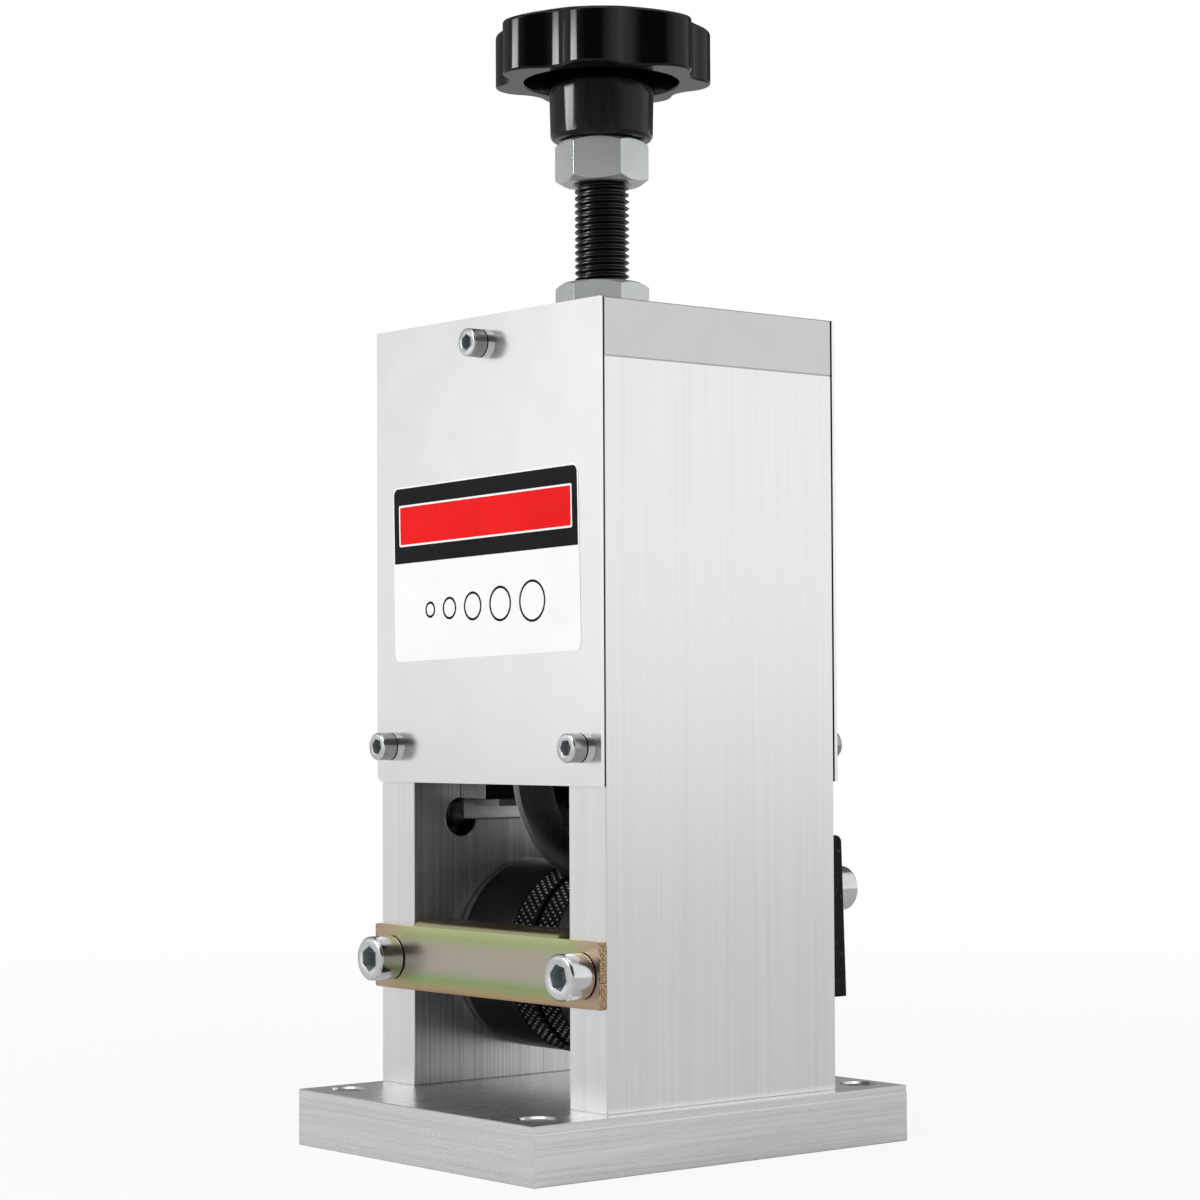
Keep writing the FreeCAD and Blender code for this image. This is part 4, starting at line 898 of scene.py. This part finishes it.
def buildSidePlate(side):
    # the round reliefs of the guide pocket have a broken, shiny rim
    node = side + "_side_plate"
    plate = mergedCopy(node, side + "PlateMilled")
    inner = min(abs(corner.x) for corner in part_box(node))

    def onRim(a, b):
        for point in (a, b):
            off = math.hypot(abs(point.y) - pocketLook["reach"], point.z - pocketLook["height"])
            if abs(abs(point.x) - inner) > touch / 2 or abs(off - pocketLook["radius"]) > touch:
                return False
        return True

    openMesh(plate, "EDGE")
    selectEdges(plate, onRim)
    bpy.ops.mesh.bevel(offset=pocketLook["rim"], segments=2)
    closeMesh()
    evenShading(plate)
    paint(plate, finishes["plate"])
    handOver(plate, "frame", "brushed_aluminium", node)


# label
labelLook = {"width": 0.108, "height": 0.064, "corner": 0.003, "cornerSteps": 6, "film": 0.00016,
             "ink": 0.00001, "tilt": -1.3, "margin": 0.0006, "headShare": 0.43, "stripeShare": 0.5,
             "rim": 0.0007, "rings": 5, "firstRing": 0.003, "ringStep": 0.0011, "ringLine": 0.0009,
             "ringGap": 0.0045, "ringSides": 48}


def flatSheet(name, width, height, corner, thickness, z, roundTopOnly=False):
    # a thin sheet that faces the front, drawn round the label's middle
    clearSelection()
    bpy.ops.mesh.primitive_plane_add(size=1.0, rotation=(math.radians(90), 0, 0))
    sheet = bpy.context.object
    sheet.name = name
    sheet.scale = (width, height, 1.0)
    bakePlace(sheet)
    openMesh(sheet, "VERT")
    selectVerts(sheet, lambda point: point.z > 0 or not roundTopOnly)
    bpy.ops.mesh.bevel(offset=corner, segments=labelLook["cornerSteps"], affect="VERTICES")
    bpy.ops.mesh.select_all(action="SELECT")
    extrudeBy(y=-thickness)
    faceOutwards()
    closeMesh()
    sheet.location = (0, 0, z)
    bakePlace(sheet)
    return sheet


def flatRing(radius, line, thickness, x, z):
    clearSelection()
    bpy.ops.mesh.primitive_circle_add(vertices=labelLook["ringSides"], radius=radius,
                                      rotation=(math.radians(90), 0, 0))
    ring = bpy.context.object
    bakePlace(ring)
    openMesh(ring, "EDGE")
    bpy.ops.mesh.select_all(action="SELECT")
    extrudeBy()
    share = (radius - line) / radius
    bpy.ops.transform.resize(value=(share, 1.0, share), center_override=(0, 0, 0))
    bpy.ops.mesh.select_all(action="SELECT")
    extrudeBy(y=-thickness)
    faceOutwards()
    closeMesh()
    ring.location = (x, 0, z)
    bakePlace(ring)
    return ring


def placeLabelPart(part, lift, material, *nodes):
    # lays a part of the label on the cover, askew like the label
    low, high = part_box("blank_label")
    part.rotation_euler = (0, math.radians(labelLook["tilt"]), 0)
    part.location = ((low.x + high.x) / 2, high.y - lift, (low.z + high.z) / 2)
    bakePlace(part)
    paint(part, finishes[material])
    handOver(part, "frame", "label_film", *nodes)


def buildLabel():
    look = labelLook
    width, height, film, ink = look["width"], look["height"], look["film"], look["ink"]
    sheet = flatSheet("labelFilm", width, height, look["corner"], film, 0)
    placeLabelPart(sheet, 0.0, "labelWhite", "blank_label")
    headHeight = height * look["headShare"]
    headWidth = width - 2 * look["margin"]
    headZ = height / 2 - look["margin"] - headHeight / 2
    head = flatSheet("labelHead", headWidth, headHeight, look["corner"] - look["margin"], ink, headZ, True)
    placeLabelPart(head, film, "labelBlack")
    stripeWidth, stripeHeight = headWidth - 2 * look["corner"], headHeight * look["stripeShare"]
    rim = look["rim"]
    border = flatSheet("labelStripeBorder", stripeWidth, stripeHeight + 2 * rim, rim, ink, headZ)
    placeLabelPart(border, film + ink, "labelWhite")
    band = flatSheet("labelStripe", stripeWidth - 2 * rim, stripeHeight, rim, ink, headZ)
    placeLabelPart(band, film + 2 * ink, "labelRed")
    radii = [look["firstRing"] + look["ringStep"] * n for n in range(look["rings"])]
    span = 2 * sum(radii) + look["ringGap"] * (len(radii) - 1)
    x, rings = -span / 2, []
    for radius in radii:
        rings.append(flatRing(radius, look["ringLine"], ink, x + radius, -headHeight / 2))
        x += 2 * radius + look["ringGap"]
    placeLabelPart(joinPieces(rings, "labelSizeRings"), film, "labelBlack")


buildFeedRoller()
buildPressureScrew()
buildCoverScrews()
buildBracketScrews()
buildTopScrews()
for easedNode in easedPieces:
    buildEasedPiece(easedNode)
for plateSide in ("left", "right"):
    buildSidePlate(plateSide)
buildLabel()
print("pieces built over", len(cad), "nodes")


# stage
stageLook = {"floorSize": 6.0, "floorColour": (0.52, 0.52, 0.52), "floorRoughness": 0.9, "eyeWhite": 0.9,
             "gleamWhite": 0.03, "whiteFrom": (0.2, 1.5), "skyLight": 0.8, "skyGleam": 1.0,
             "highFrom": (0.14, 0.166)}
# what shiny faces see around them, low down and higher up:
# place round the compass from -X through -Y, +X and +Y, and brightness
skyRing = [(0.0, 0.55), (0.06, 0.6), (0.09, 0.71), (0.112, 1.0), (0.24, 0.9), (0.31, 0.6), (0.42, 0.6),
           (0.5, 0.7), (0.56, 1.0), (0.76, 1.0), (0.9, 0.6), (1.0, 0.5)]
highRing = [(0.0, 0.3), (0.056, 0.42), (0.09, 0.5), (0.13, 0.5), (0.2, 0.4), (0.25, 0.2), (0.31, 0.03),
            (0.45, 0.03), (0.52, 0.6), (0.56, 0.9), (0.7, 0.9), (0.73, 0.7), (0.76, 0.12), (0.92, 0.06),
            (1.0, 0.3)]


def addLightPath(nodes, links, eyeShare, gleamShare):
    # 0 for light that spreads, one share for what the eye sees and one for what shiny surfaces show
    path = nodes.new("ShaderNodeLightPath").outputs
    total = addMath(nodes, links, "MULTIPLY", path["Is Camera Ray"], eyeShare)
    for label in ("Is Glossy Ray", "Is Transmission Ray"):
        part = addMath(nodes, links, "MULTIPLY", path[label], gleamShare)
        total = addMath(nodes, links, "ADD", total, part)
    return total


def addFloor():
    clearSelection()
    bpy.ops.mesh.primitive_plane_add(size=stageLook["floorSize"], location=(0, 0, 0))
    floor = bpy.context.object
    floor.name = "studioFloor"
    material, nodes, links, shader = startMaterial("paleFloor")
    shader.inputs["Base Color"].default_value = (*stageLook["floorColour"], 1.0)
    shader.inputs["Roughness"].default_value = stageLook["floorRoughness"]
    shader.inputs["Specular IOR Level"].default_value = 0.0
    glow = nodes.new("ShaderNodeEmission")
    blend = nodes.new("ShaderNodeMixShader")
    share = addLightPath(nodes, links, stageLook["eyeWhite"], stageLook["gleamWhite"])
    # away from the object the floor turns as white to the eye as the sky
    place = addPlace(nodes, links)[0]
    away = addSpan(nodes, links, addLength(nodes, links, place), *stageLook["whiteFrom"])
    away.node.interpolation_type = "SMOOTHSTEP"
    isEye = addLightPath(nodes, links, 1.0 - stageLook["eyeWhite"], 0.0)
    share = addMath(nodes, links, "ADD", share, addMath(nodes, links, "MULTIPLY", away, isEye))
    links.new(share, blend.inputs["Fac"])
    links.new(shader.outputs["BSDF"], blend.inputs[1])
    links.new(glow.outputs["Emission"], blend.inputs[2])
    links.new(blend.outputs["Shader"], nodes["Material Output"].inputs["Surface"])
    paint(floor, material)


def addSky():
    # spreads an even light, is white to the eye, and has softer and brighter sides for shiny surfaces
    world = bpy.data.worlds.new("studioSky")
    world.use_nodes = True
    bpy.context.scene.world = world
    nodes, links = world.node_tree.nodes, world.node_tree.links
    spread = nodes["Background"]
    bright, gleam = nodes.new("ShaderNodeBackground"), nodes.new("ShaderNodeBackground")
    for sky, strength in ((spread, stageLook["skyLight"]), (bright, 1.0), (gleam, stageLook["skyGleam"])):
        sky.inputs["Color"].default_value = (*white, 1.0)
        sky.inputs["Strength"].default_value = strength
    direction = nodes.new("ShaderNodeTexCoord").outputs["Generated"]
    compass = nodes.new("ShaderNodeTexGradient")
    compass.gradient_type = "RADIAL"
    links.new(direction, compass.inputs["Vector"])
    rings = [addRamp(nodes, links, compass.outputs["Fac"], [(place, (tone,) * 3) for place, tone in ring])
             for ring in (skyRing, highRing)]
    above = addSpan(nodes, links, addSplit(nodes, links, direction)["Z"], *stageLook["highFrom"])
    links.new(addBlend(nodes, links, above, *rings), gleam.inputs["Color"])
    shiny = nodes.new("ShaderNodeMixShader")
    links.new(addLightPath(nodes, links, 0.0, 1.0), shiny.inputs["Fac"])
    links.new(spread.outputs["Background"], shiny.inputs[1])
    links.new(gleam.outputs["Background"], shiny.inputs[2])
    seen = nodes.new("ShaderNodeMixShader")
    links.new(addLightPath(nodes, links, 1.0, 0.0), seen.inputs["Fac"])
    links.new(shiny.outputs["Shader"], seen.inputs[1])
    links.new(bright.outputs["Background"], seen.inputs[2])
    links.new(seen.outputs["Shader"], nodes["World Output"].inputs["Surface"])


lampLook = {
    "key": {"place": (-0.53, -1.17, 0.62), "size": (0.56, 0.15), "power": 4.8},
    "front": {"place": (-0.3, -1.7, 1.3), "size": (1.0, 0.8), "power": 3.4},
    "top": {"place": (0.2, -0.3, 1.6), "size": (1.2, 1.2), "power": 5.0},
}
lampAim = Vector((0.0, 0.0, 0.2))


def addLamps():
    for name, look in lampLook.items():
        clearSelection()
        bpy.ops.object.light_add(type="AREA", location=look["place"])
        lamp = bpy.context.object
        lamp.name = name + "Lamp"
        lamp.data.shape = "RECTANGLE"
        lamp.data.size, lamp.data.size_y = look["size"]
        lamp.data.energy = look["power"]
        lamp.rotation_euler = (lampAim - lamp.location).to_track_quat("-Z", "Y").to_euler()


cameraLook = {"place": (0.8544, -0.70505, 0.15324), "heading": 50.54, "tilt": 2.219, "roll": -0.252,
              "lens": 91.08, "sensor": 36.0, "nearest": 0.02}


def addCamera():
    clearSelection()
    bpy.ops.object.camera_add(location=cameraLook["place"])
    camera = bpy.context.object
    camera.name = "benchCamera"
    camera.data.lens = cameraLook["lens"]
    camera.data.sensor_width = cameraLook["sensor"]
    camera.data.clip_start = cameraLook["nearest"]
    turn = Matrix.Rotation(math.radians(cameraLook["heading"]), 4, "Z")
    nod = Matrix.Rotation(math.radians(90.0 + cameraLook["tilt"]), 4, "X")
    lean = Matrix.Rotation(math.radians(cameraLook["roll"]), 4, "Z")
    camera.matrix_world = Matrix.Translation(cameraLook["place"]) @ turn @ nod @ lean
    bpy.context.scene.camera = camera


addFloor()
addSky()
addLamps()
addCamera()
bpy.context.scene.view_settings.view_transform = "Standard"
print("stage, lamps and camera are in place")
